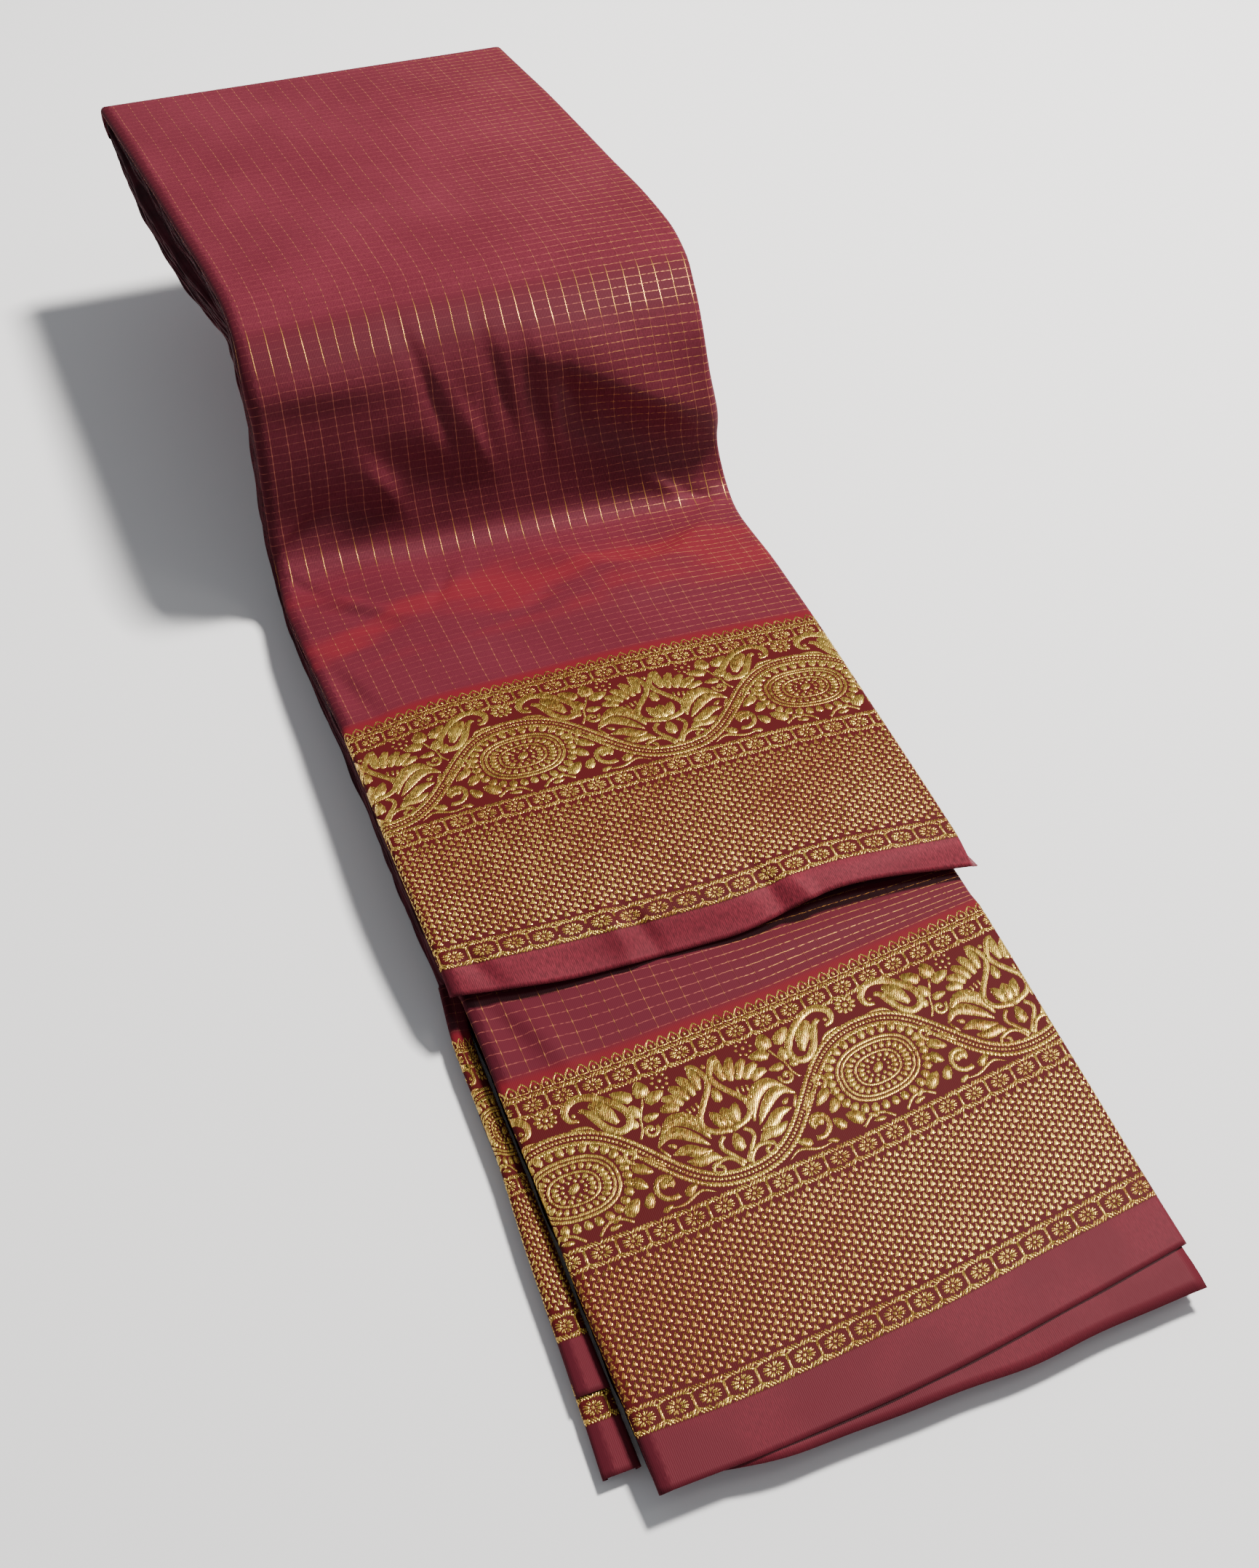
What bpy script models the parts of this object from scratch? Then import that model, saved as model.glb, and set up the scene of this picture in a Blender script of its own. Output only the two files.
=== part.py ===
# A silk sari, pleated into a narrow strip and folded once, so that the strip's two ends lie one on the
# other with their woven borders showing. The far half lies raised, as over a step: it falls over a soft
# bend to a crease, and from there the strip lies flat on the ground.
#
# "Along" runs from the far fold to the near end, down -Y. "Across" runs from left to right, up +X.
# A stack's depth runs from its top face to its under face.

import math

import bpy
import bmesh

# Driving dimensions, in metres
CLOTH_WALL = 0.0012
SEAM_GAP = 0.0003
BED_GAP = 0.0003
NOSE_RADIUS = 0.006
NOSE_LAP = 0.012
FREE_EDGE_OVERHANG = 0.012
STATION_PITCH = 0.014
STATION_TURN = math.radians(11)

# A fold's height stays whole through the outer layers, and fades to none at the under face
FOLD_FADE = 1.5

# The layers under a skin lie this far inside its outer face, and a skin turns no tighter than this
BED_INSET = CLOTH_WALL + BED_GAP
LEAST_TURN = 1.2 * CLOTH_WALL

# Near the free edges the next layer down comes out: how much further at the right, and how much lower
NEXT_LAYER_FAN = 0.018
NEXT_INSET = BED_INSET + SEAM_GAP
LAYER_DROP = 0.0014

# Each stack's rows, in millimetres: where its top and under faces pass, its two long edges, and how much
# further along the right edge is than the left one
STACK_COLUMNS = ("top_along", "top_height", "under_along", "under_height", "left", "right", "skew")
UPPER_ROWS = {
    "far": (5, 89, 5, 77, -3.2, 175.4, 9.6),
    "raised_1": (60, 94.5, 60, 77, 0.5, 178.9, 9),
    "raised_2": (115, 99, 115, 77, 3.9, 182.1, 9),
    "raised_3": (148, 101.8, 144, 77, 5.9, 183.8, 9),
    "crown": (168, 102.3, 158, 77, 6.6, 184.3, 9.5),
    "bend_1": (185, 99.6, 169, 75.5, 6, 183.5, 12),
    "bend_2": (198, 92.5, 178, 70.5, 5, 182, 14),
    "fall_1": (207, 81.5, 185.5, 62.5, 4.5, 181.5, 16),
    "fall_2": (214, 66.5, 192, 50, 3.5, 181.5, 17),
    "fall_3": (220, 50, 198, 35, 2, 182.5, 18),
    "fall_4": (225.5, 34, 203.5, 20, 0.5, 184, 18),
    "foot": (231.5, 23, 211, 6.5, -0.2, 185, 18),
    "crease": (240, 19.2, 224, 0, -1.2, 184.4, 17),
    "low_1": (254, 20.8, 246, 0, -2.6, 183, 13),
    "low_2": (282, 24, 280, 0, -2.4, 182.7, 9),
    "border_start": (320, 27, 320, 0, -1.7, 182, 8.3),
    "border_mid": (372, 28.8, 372, 0, -2.4, 180.9, 12),
    "border_end": (428, 30, 428, 0, -2.5, 178.9, 17),
    "free_edge": (441.5, 30, 441.5, 0, -2.5, 179.2, 17.4),
}
LOWER_ROWS = {
    "step": (431, 15.4, 431, 0, 2, 179.3, 17),
    "tucked": (432, 15.4, 432, 0, 2, 179.3, 16),
    "shown": (446, 15.2, 446, 0, 2.1, 179.4, 6),
    "border_start": (458, 15, 458, 0, 1.7, 180.1, -3),
    "border_mid_1": (495, 14, 495, 0, 1.4, 179.6, -3.5),
    "border_mid_2": (531, 13, 531, 0, 0.4, 178.9, -3.5),
    "border_end": (568.6, 12, 568.6, 0, 0.2, 178, -3.3),
    "free_edge": (587, 10.6, 587, 0, 0, 178.4, -5.5),
    "last": (594.5, 9.4, 594.5, 0, 0, 179.2, -5.5),
}
LEFT_ROWS = {
    "start": (438, 8, 438, 0, -5, 1.6, 1),
    "border_1": (474, 8, 474, 0, -5.7, 1.0, 0.5),
    "border_2": (510, 7.6, 510, 0, -8.3, 0.5, 0.5),
    "border_end": (537, 7.2, 537, 0, -9.6, -0.2, 0.5),
    "free_edge": (554, 6.8, 554, 0, -10.6, -0.3, 0.5),
    "slice_end": (561, 6.8, 561, 0, -11, -0.4, 0.5),
    "last": (577.5, 6.2, 577.5, 0, -12.2, -0.5, 0.5),
}

# The largest soft folds, in millimetres: where each one's middle is along the top face from the first
# row, and across, how far it reaches each way, how high it stands, and its turn in degrees
FOLD_COLUMNS = ("along", "across", "half_length", "half_width", "height", "turn")
UPPER_FOLDS = {
    "left_pucker": (290, 40, 30, 10, 2.0, 24),
    "left_trough": (300, 74, 30, 11, -1.5, 16),
    "foot_roll": (322, 126, 40, 12, 2.2, 6),
    "foot_dip": (346, 70, 40, 16, -1.2, -10),
    "fall_dent": (236, 112, 22, 34, -2.0, 80),
    "fall_ridge": (238, 66, 18, 34, 1.6, 84),
    "fall_ridge_2": (244, 152, 16, 30, 1.4, 96),
    "edge_lift": (512, 58, 44, 20, 1.8, 0),
    "edge_dip": (512, 132, 36, 20, -1.2, 0),
}
LOWER_FOLDS = {
    "border_swell": (60, 60, 50, 30, 0.8, 20),
    "border_sag": (85, 130, 45, 28, -0.6, -15),
}
NO_FOLDS = {}

MAROON = (0.23, 0.028, 0.045, 1)
MAROON_DARK = (0.11, 0.012, 0.022, 1)
MAROON_SATIN = (0.30, 0.045, 0.07, 1)
GOLD = (0.56, 0.37, 0.13, 1)


def in_metres(row, columns):
    return {name: value / 1000 for name, value in zip(columns, row)}


def slopes(knots, values):
    # Slopes of a curve that never swings past its own rows
    steps = [(values[i + 1] - values[i]) / (knots[i + 1] - knots[i]) for i in range(len(knots) - 1)]
    result = [steps[0]]
    for before, after in zip(steps, steps[1:]):
        if before * after <= 0:
            result.append(0.0)
        else:
            result.append(2 * before * after / (before + after))
    result.append(steps[-1])
    return result


def read_curve(knots, values, tangents, at):
    last = len(knots) - 2
    index = 0
    while index < last and at > knots[index + 1]:
        index += 1
    span = knots[index + 1] - knots[index]
    t = (at - knots[index]) / span
    h00 = 2 * t**3 - 3 * t**2 + 1
    h10 = t**3 - 2 * t**2 + t
    h01 = -2 * t**3 + 3 * t**2
    h11 = t**3 - t**2
    near = h00 * values[index] + h10 * span * tangents[index]
    return near + h01 * values[index + 1] + h11 * span * tangents[index + 1]


class Stack:
    """A pile of cloth layers, read anywhere between its rows."""

    def __init__(self, rows, folds, corner_radius, side_wrap, top_steps, ridges):
        table = [in_metres(row, STACK_COLUMNS) for row in rows.values()]
        self.knots = [0.0]
        for before, after in zip(table, table[1:]):
            run = after["top_along"] - before["top_along"]
            rise = after["top_height"] - before["top_height"]
            self.knots.append(self.knots[-1] + math.hypot(run, rise))
        self.curves = {}
        for column in STACK_COLUMNS:
            values = [row[column] for row in table]
            self.curves[column] = (values, slopes(self.knots, values))
        self.places = dict(zip(rows, self.knots))
        self.folds = []
        for row in folds.values():
            fold = in_metres(row[:-1], FOLD_COLUMNS)
            fold["turn"] = math.radians(row[-1])
            self.folds.append(fold)
        self.corner_radius = corner_radius
        self.side_wrap = side_wrap
        self.top_steps = top_steps
        self.ridges = ridges
        self.marks = [0.0]
        for first, last in zip(self.knots, self.knots[1:]):
            turn = abs(self.slope_angle(last) - self.slope_angle(first))
            count = max(math.ceil((last - first) / STATION_PITCH), math.ceil(turn / STATION_TURN))
            self.marks += [first + (last - first) * step / count for step in range(1, count + 1)]

    def read(self, column, at):
        values, tangents = self.curves[column]
        return read_curve(self.knots, values, tangents, at)

    def slope_angle(self, at):
        nudge = 0.0004
        run = self.read("top_along", at + nudge) - self.read("top_along", at - nudge)
        rise = self.read("top_height", at + nudge) - self.read("top_height", at - nudge)
        return math.atan2(rise, run)

    def stations(self, first, last):
        # The shared stations from one row to another, so that a skin and what it lies on match
        tiny = 1e-6
        return [mark for mark in self.marks if first - tiny < mark < last + tiny]

    def station(self, at):
        row = {column: self.read(column, at) for column in STACK_COLUMNS}
        angle = self.slope_angle(at)
        row["out"] = (-math.sin(angle), math.cos(angle))
        down_along = row["under_along"] - row["top_along"]
        down_height = row["under_height"] - row["top_height"]
        row["thickness"] = math.hypot(down_along, down_height)
        row["down"] = (down_along / row["thickness"], down_height / row["thickness"])
        lean = -(row["down"][0] * row["out"][0] + row["down"][1] * row["out"][1])
        row["lean"] = max(lean, 0.5)
        row["at"] = at
        return row

    def lift(self, at, across):
        total = 0.0
        for fold in self.folds:
            step = at - fold["along"]
            side = across - fold["across"]
            along_fold = side * math.cos(fold["turn"]) + step * math.sin(fold["turn"])
            over_fold = step * math.cos(fold["turn"]) - side * math.sin(fold["turn"])
            reach = (along_fold / fold["half_length"]) ** 2 + (over_fold / fold["half_width"]) ** 2
            total += fold["height"] * math.exp(-reach)
        return total

    def point(self, row, across, depth, fan=0.0):
        share = (across - row["left"]) / (row["right"] - row["left"]) - 0.5
        fade = min(1.0, FOLD_FADE * max(0.0, 1 - depth / row["thickness"]))
        lift = self.lift(row["at"], across) * fade
        along = row["top_along"] + row["down"][0] * depth + row["out"][0] * lift
        along += (row["skew"] + fan) * share
        height = row["top_height"] + row["down"][1] * depth + row["out"][1] * lift
        return (across, -along, max(0.0, height))

    def shoulder(self, row, inset, steps, least):
        # The rounded edge of the top face, as (distance in from the edge, depth), from its side up
        radius = max(self.corner_radius - inset, least)
        points = []
        for step in range(steps + 1):
            angle = math.radians(90) * step / steps
            reach = inset + radius - radius * math.cos(angle)
            depth = inset + radius - radius * math.sin(angle)
            points.append((reach, depth / row["lean"]))
        return points

    def top_places(self, row):
        first = row["left"] + self.corner_radius
        span = row["right"] - row["left"] - 2 * self.corner_radius
        return [first + span * step / self.top_steps for step in range(1, self.top_steps)]

    def skin_outline(self, row, inset):
        # From the left side over the top to the right side, as (across, depth)
        shoulder = self.shoulder(row, inset, 3, LEAST_TURN)
        shoulder.insert(0, (inset, (self.side_wrap + inset / 2) / row["lean"]))
        top_depth = shoulder[-1][1]
        outline = [(row["left"] + reach, depth) for reach, depth in shoulder]
        outline += [(across, top_depth) for across in self.top_places(row)]
        outline += [(row["right"] - reach, depth) for reach, depth in reversed(shoulder)]
        return outline

    def core_outline(self, row, inset, under_inset=0.0):
        # The same, closed below, with the folded edges of the layers as ridges down both sides
        first = (self.side_wrap + (inset - BED_INSET) / 2 + BED_GAP) / row["lean"]
        last = row["thickness"] - under_inset - 0.0012
        side = [(0.0022, row["thickness"] - under_inset)]
        for step in range(2 * self.ridges, -1, -1):
            depth = first + (last - first) * step / (2 * self.ridges)
            reach = inset - BED_INSET if step % 2 else inset
            side.append((reach, depth))
        side += self.shoulder(row, inset, 2, BED_GAP)
        top_depth = side[-1][1]
        left = [(row["left"] + reach, depth) for reach, depth in side]
        top = [(across, top_depth) for across in self.top_places(row)]
        right = [(row["right"] - reach, depth) for reach, depth in reversed(side)]
        return left + top + right


def bridge_rings(mesh, rings, closed):
    for before, after in zip(rings, rings[1:]):
        count = len(before)
        for index in range(count if closed else count - 1):
            other = (index + 1) % count
            mesh.faces.new((before[index], after[index], after[other], before[other]))


def add_object(name, mesh_edit, material, collection):
    mesh = bpy.data.meshes.new(name)
    mesh_edit.to_mesh(mesh)
    mesh_edit.free()
    piece = bpy.data.objects.new(name, mesh)
    piece.data.materials.append(material)
    collection.objects.link(piece)
    return piece


def add_wall(piece):
    wall = piece.modifiers.new("wall", "SOLIDIFY")
    wall.thickness = CLOTH_WALL
    wall.offset = -1
    wall.use_even_offset = True
    return piece


def make_skin(name, stack, first, last, material, collection, inset=0.0, fan=0.0):
    # One stretch of the cloth that shows, half a seam gap short at each end
    places = stack.stations(first, last)
    places[0] = first + SEAM_GAP / 2
    places[-1] = last - SEAM_GAP / 2
    edit = bmesh.new()
    rings = []
    for at in places:
        row = stack.station(at)
        turned = fan * (at - stack.places["border_end"])
        outline = stack.skin_outline(row, inset)
        rings.append([edit.verts.new(stack.point(row, x, depth, turned)) for x, depth in outline])
    bridge_rings(edit, rings, closed=False)
    return add_wall(add_object(name, edit, material, collection))


def make_far_fold(name, stack, material, collection):
    # The turn of the outermost layer round the far end, and its lap under the raised stretch
    row = stack.station(0.0)
    middle = row["top_height"] - NOSE_RADIUS
    path = []
    for step in range(9):
        angle = math.radians(90 - 180 * step / 8)
        path.append((row["top_along"] - NOSE_RADIUS * math.cos(angle), middle + NOSE_RADIUS * math.sin(angle)))
    path[0] = (path[0][0] - SEAM_GAP / 2, path[0][1])
    path.append((row["under_along"] + NOSE_LAP, row["under_height"]))
    left = row["left"] + stack.corner_radius
    right = row["right"] - stack.corner_radius
    width = row["right"] - row["left"]
    edit = bmesh.new()
    rings = []
    for along, height in reversed(path):
        ring = []
        for across in [left] + stack.top_places(row) + [right]:
            shift = row["skew"] * ((across - row["left"]) / width - 0.5)
            ring.append(edit.verts.new((across, -along - shift, height)))
        rings.append(ring)
    bridge_rings(edit, rings, closed=False)
    return add_wall(add_object(name, edit, material, collection))


def core_ring(edit, stack, at, inset, fan=0.0, under_inset=0.0):
    row = stack.station(at)
    outline = stack.core_outline(row, inset, under_inset)
    return [edit.verts.new(stack.point(row, x, depth, fan)) for x, depth in outline]


def cap_rings(edit, rings):
    edit.faces.new(reversed(rings[0]))
    edit.faces.new(rings[-1])


def make_hidden_layers(name, upper, lower, material, collection):
    # All the layers that don't show, as one solid: it has the far fold's round nose, follows the bend and
    # the crease, steps down where the upper leaf ends and is layered at its sides and its near end
    edit = bmesh.new()
    rings = []
    upper_end = upper.places["free_edge"] - FREE_EDGE_OVERHANG
    for at in (0.0, NOSE_LAP + BED_GAP):
        rings.append(core_ring(edit, upper, at, BED_INSET, under_inset=BED_INSET))
    for at in [NOSE_LAP + 2 * BED_GAP] + upper.stations(NOSE_LAP + STATION_PITCH / 3, upper_end) + [upper_end]:
        rings.append(core_ring(edit, upper, at, BED_INSET))

    # The nose: the first ring again, flatter and further out each time
    first = rings[0]
    middle = upper.station(0.0)["top_height"] - NOSE_RADIUS
    for angle in (75, 50, 25, 8):
        share = math.sin(math.radians(angle))
        reach = (NOSE_RADIUS - BED_INSET) * math.cos(math.radians(angle))
        ring = []
        for vert in first:
            height = middle + (vert.co.z - middle) * share
            ring.append(edit.verts.new((vert.co.x, vert.co.y + reach, height)))
        rings.insert(0, ring)

    lower_last = lower.places["border_end"]
    for at in lower.stations(0.0, lower_last):
        rings.append(core_ring(edit, lower, at, BED_INSET))
    # Under the next layer's selvedge it lies two layers down, and it fans out with that layer
    spread = lower.places["last"] - lower_last
    for share in (0.1, 0.4, 0.65, 0.8):
        at = lower_last + share * spread
        rings.append(core_ring(edit, lower, at, NEXT_INSET + BED_INSET, share * NEXT_LAYER_FAN))
    at = lower_last + 0.9 * spread
    rings.append(core_ring(edit, lower, at, NEXT_INSET + 2 * BED_INSET, 0.9 * NEXT_LAYER_FAN))
    bridge_rings(edit, rings, closed=True)
    cap_rings(edit, rings)
    bmesh.ops.recalc_face_normals(edit, faces=edit.faces)
    return add_object(name, edit, material, collection)


def make_left_layers(name, stack, material, collection):
    # The lower layers' folds that peek out on the left, a layer lower past their own free edge
    edit = bmesh.new()
    edge = stack.places["free_edge"]
    rings = [core_ring(edit, stack, at, BED_INSET) for at in stack.stations(0.0, edge)[:-1]]
    rings.append(core_ring(edit, stack, edge - SEAM_GAP / 3, BED_INSET))
    low_marks = stack.stations(stack.places["slice_end"], stack.places["last"])[:-1]
    for at in [edge + SEAM_GAP / 3] + low_marks + [stack.places["last"] - 0.002]:
        rings.append(core_ring(edit, stack, at, BED_INSET + LAYER_DROP))
    bridge_rings(edit, rings, closed=True)
    cap_rings(edit, rings)
    bmesh.ops.recalc_face_normals(edit, faces=edit.faces)
    return add_object(name, edit, material, collection)


def make_material(name, colour, roughness, metallic=0.0):
    material = bpy.data.materials.new(name)
    material.use_nodes = True
    shader = material.node_tree.nodes["Principled BSDF"]
    shader.inputs["Base Color"].default_value = colour
    shader.inputs["Roughness"].default_value = roughness
    shader.inputs["Metallic"].default_value = metallic
    material.diffuse_color = colour
    return material


def centre_on_box(pieces):
    # The origin is under the middle of the whole sari, on the ground
    graph = bpy.context.evaluated_depsgraph_get()
    low = [math.inf, math.inf]
    high = [-math.inf, -math.inf]
    for piece in pieces:
        mesh = piece.evaluated_get(graph).to_mesh()
        for vert in mesh.vertices:
            for axis in range(2):
                low[axis] = min(low[axis], vert.co[axis])
                high[axis] = max(high[axis], vert.co[axis])
        piece.evaluated_get(graph).to_mesh_clear()
    middle = [(low[axis] + high[axis]) / 2 for axis in range(2)]
    for piece in pieces:
        for vert in piece.data.vertices:
            vert.co.x -= middle[0]
            vert.co.y -= middle[1]


def main():
    for old in list(bpy.data.objects):
        bpy.data.objects.remove(old, do_unlink=True)
    collection = bpy.data.collections.new("folded_sari")
    bpy.context.scene.collection.children.link(collection)

    checked = make_material("checked_silk", MAROON, 0.5)
    layered = make_material("layered_silk", MAROON_DARK, 0.6)
    plain = make_material("plain_selvedge", MAROON_SATIN, 0.42)
    woven = make_material("gold_border", GOLD, 0.38, 0.6)

    upper = Stack(UPPER_ROWS, UPPER_FOLDS, 0.004, 0.0055, 12, 4)
    lower = Stack(LOWER_ROWS, LOWER_FOLDS, 0.0035, 0.005, 12, 4)
    left = Stack(LEFT_ROWS, NO_FOLDS, 0.0022, 0.003, 2, 2)

    pieces = [
        make_hidden_layers("hidden_layers", upper, lower, layered, collection),
        make_far_fold("far_fold", upper, checked, collection),
        make_left_layers("left_layers", left, layered, collection),
    ]
    # name, stack, first row, last row, material, inset from the stack's face
    stretches = (
        ("upper_raised", upper, "far", "crown", checked, 0.0),
        ("upper_fall", upper, "crown", "crease", checked, 0.0),
        ("upper_low", upper, "crease", "border_start", checked, 0.0),
        ("upper_border", upper, "border_start", "border_end", woven, 0.0),
        ("upper_selvedge", upper, "border_end", "free_edge", plain, 0.0),
        ("lower_body", lower, "tucked", "border_start", checked, 0.0),
        ("lower_border", lower, "border_start", "border_end", woven, 0.0),
        ("lower_selvedge", lower, "border_end", "free_edge", plain, 0.0),
        ("left_border", left, "start", "border_end", woven, 0.0),
        ("left_selvedge", left, "border_end", "free_edge", plain, 0.0),
        ("left_next_border", left, "free_edge", "slice_end", woven, LAYER_DROP),
        ("left_next_selvedge", left, "slice_end", "last", plain, LAYER_DROP),
    )
    for name, stack, first, last, material, inset in stretches:
        start = stack.places[first]
        end = stack.places[last]
        pieces.append(make_skin(name, stack, start, end, material, collection, inset))

    # The next layer under the near free edge, fanned out further at its right corner
    end = lower.places["last"]
    spread = end - lower.places["border_end"]
    start = end - 0.88 * spread
    fan = NEXT_LAYER_FAN / spread
    pieces.append(make_skin("lower_next_selvedge", lower, start, end, plain, collection, NEXT_INSET, fan))
    centre_on_box(pieces)


main()
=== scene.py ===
import math
import random

import bmesh
import bpy
import numpy as np
from mathutils import Matrix, Vector


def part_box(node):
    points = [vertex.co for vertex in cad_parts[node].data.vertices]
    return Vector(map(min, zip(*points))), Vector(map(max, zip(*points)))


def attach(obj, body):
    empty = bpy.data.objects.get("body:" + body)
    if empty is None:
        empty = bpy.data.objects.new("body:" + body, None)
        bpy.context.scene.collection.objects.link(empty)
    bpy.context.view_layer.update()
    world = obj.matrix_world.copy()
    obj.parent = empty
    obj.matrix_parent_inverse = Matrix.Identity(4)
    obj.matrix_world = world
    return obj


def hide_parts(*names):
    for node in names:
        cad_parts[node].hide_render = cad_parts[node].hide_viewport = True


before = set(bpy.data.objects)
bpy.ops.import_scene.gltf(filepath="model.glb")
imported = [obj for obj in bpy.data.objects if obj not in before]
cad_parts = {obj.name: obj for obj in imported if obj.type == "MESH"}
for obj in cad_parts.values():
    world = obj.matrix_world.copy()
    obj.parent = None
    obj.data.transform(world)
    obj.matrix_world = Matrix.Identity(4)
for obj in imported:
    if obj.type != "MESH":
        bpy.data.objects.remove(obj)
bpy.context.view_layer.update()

# A folded silk sari. Cloth sizes are in millimetres on the flat cloth: x across the strip, v along it,
# counted from the tips of the woven border's scallops towards the free edge.
mm = 0.001

photoCamera = {
    "focal": 2300,
    "photoHeight": 2156,
    "sensor": 36,
    "down": 52.884,
    "turn": 26.728,
    "roll": 4.071,
    "place": (-0.1619, -0.3894, 0.4934),
}


def newObject(name, data):
    made = bpy.data.objects.new(name, data)
    bpy.context.scene.collection.objects.link(made)
    return made


def makeCamera():
    down, turn, roll = (math.radians(photoCamera[name]) for name in ("down", "turn", "roll"))
    forward = Vector((math.sin(turn) * math.cos(down), math.cos(turn) * math.cos(down), -math.sin(down)))
    level = Vector((math.cos(turn), -math.sin(turn), 0))
    upright = level.cross(forward)
    right = level * math.cos(roll) + upright * math.sin(roll)
    up = upright * math.cos(roll) - level * math.sin(roll)
    lens = bpy.data.cameras.new("photoView")
    lens.sensor_width = photoCamera["sensor"]
    lens.lens = photoCamera["focal"] * photoCamera["sensor"] / photoCamera["photoHeight"]
    camera = newObject("photoView", lens)
    turned = Matrix((right, up, -forward)).transposed().to_4x4()
    camera.matrix_world = Matrix.Translation(photoCamera["place"]) @ turned
    bpy.context.scene.camera = camera


makeCamera()
print("camera placed")

stripWidth = 180

# Where the stacks of layers run, a row for each section: the top face's place along the strip and its
# height, the same of the under face, the left and right long edges, and the skew. They are the CAD part's
# own, but the upper leaf droops over its last two, and the left slice has a first one under that leaf
upperRows = {
    "far": (5, 89, 5, 77, -3.2, 175.4, 9.6),
    "raised1": (60, 94.5, 60, 77, 0.5, 178.9, 9),
    "raised2": (115, 99, 115, 77, 3.9, 182.1, 9),
    "raised3": (148, 101.8, 144, 77, 5.9, 183.8, 9),
    "crown": (168, 102.3, 158, 77, 6.6, 184.3, 9.5),
    "bend1": (185, 99.6, 169, 75.5, 6, 183.5, 12),
    "bend2": (198, 92.5, 178, 70.5, 5, 182, 14),
    "fall1": (207, 81.5, 185.5, 62.5, 4.5, 181.5, 16),
    "fall2": (214, 66.5, 192, 50, 3.5, 181.5, 17),
    "fall3": (220, 50, 198, 35, 2, 182.5, 18),
    "fall4": (225.5, 34, 203.5, 20, 0.5, 184, 18),
    "foot": (231.5, 23, 211, 6.5, -0.2, 185, 18),
    "crease": (240, 19.2, 224, 0, -1.2, 184.4, 17),
    "low1": (254, 20.8, 246, 0, -2.6, 183, 13),
    "low2": (282, 24, 280, 0, -2.4, 182.7, 9),
    "borderStart": (320, 27, 320, 0, -1.7, 182, 8.3),
    "borderMid": (372, 28.8, 372, 0, -2.4, 180.9, 12),
    "borderEnd": (422.5, 25, 422.5, 0, -1.8, 182.5, 16.8),
    "freeEdge": (434.5, 19.6, 434.5, 0, -1.4, 183.8, 17.2),
}
lowerRows = {
    "step": (431, 15.4, 431, 0, 2, 179.3, 17),
    "tucked": (432, 15.4, 432, 0, 2, 179.3, 16),
    "shown": (446, 15.2, 446, 0, 2.1, 179.4, 6),
    "borderStart": (458, 15, 458, 0, 1.7, 180.1, -3),
    "borderMid1": (495, 14, 495, 0, 1.4, 179.6, -3.5),
    "borderMid2": (531, 13, 531, 0, 0.4, 178.9, -3.5),
    "borderEnd": (568.6, 12, 568.6, 0, 0.2, 178, -3.3),
    "freeEdge": (587, 10.6, 587, 0, 0, 178.4, -5.5),
    "last": (594.5, 9.4, 594.5, 0, 0, 179.2, -5.5),
}
leftRows = {
    "tucked": (412, 8, 412, 0, -2, 6.5, 1),
    "start": (438, 8, 438, 0, -5, 1.6, 1),
    "border1": (474, 8, 474, 0, -5.7, 1.0, 0.5),
    "border2": (510, 7.6, 510, 0, -8.3, 0.5, 0.5),
    "borderEnd": (537, 7.2, 537, 0, -9.6, -0.2, 0.5),
    "freeEdge": (554, 6.8, 554, 0, -10.6, -0.3, 0.5),
    "sliceEnd": (561, 6.8, 561, 0, -11, -0.4, 0.5),
    "last": (577.5, 6.2, 577.5, 0, -12.2, -0.5, 0.5),
}

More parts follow.
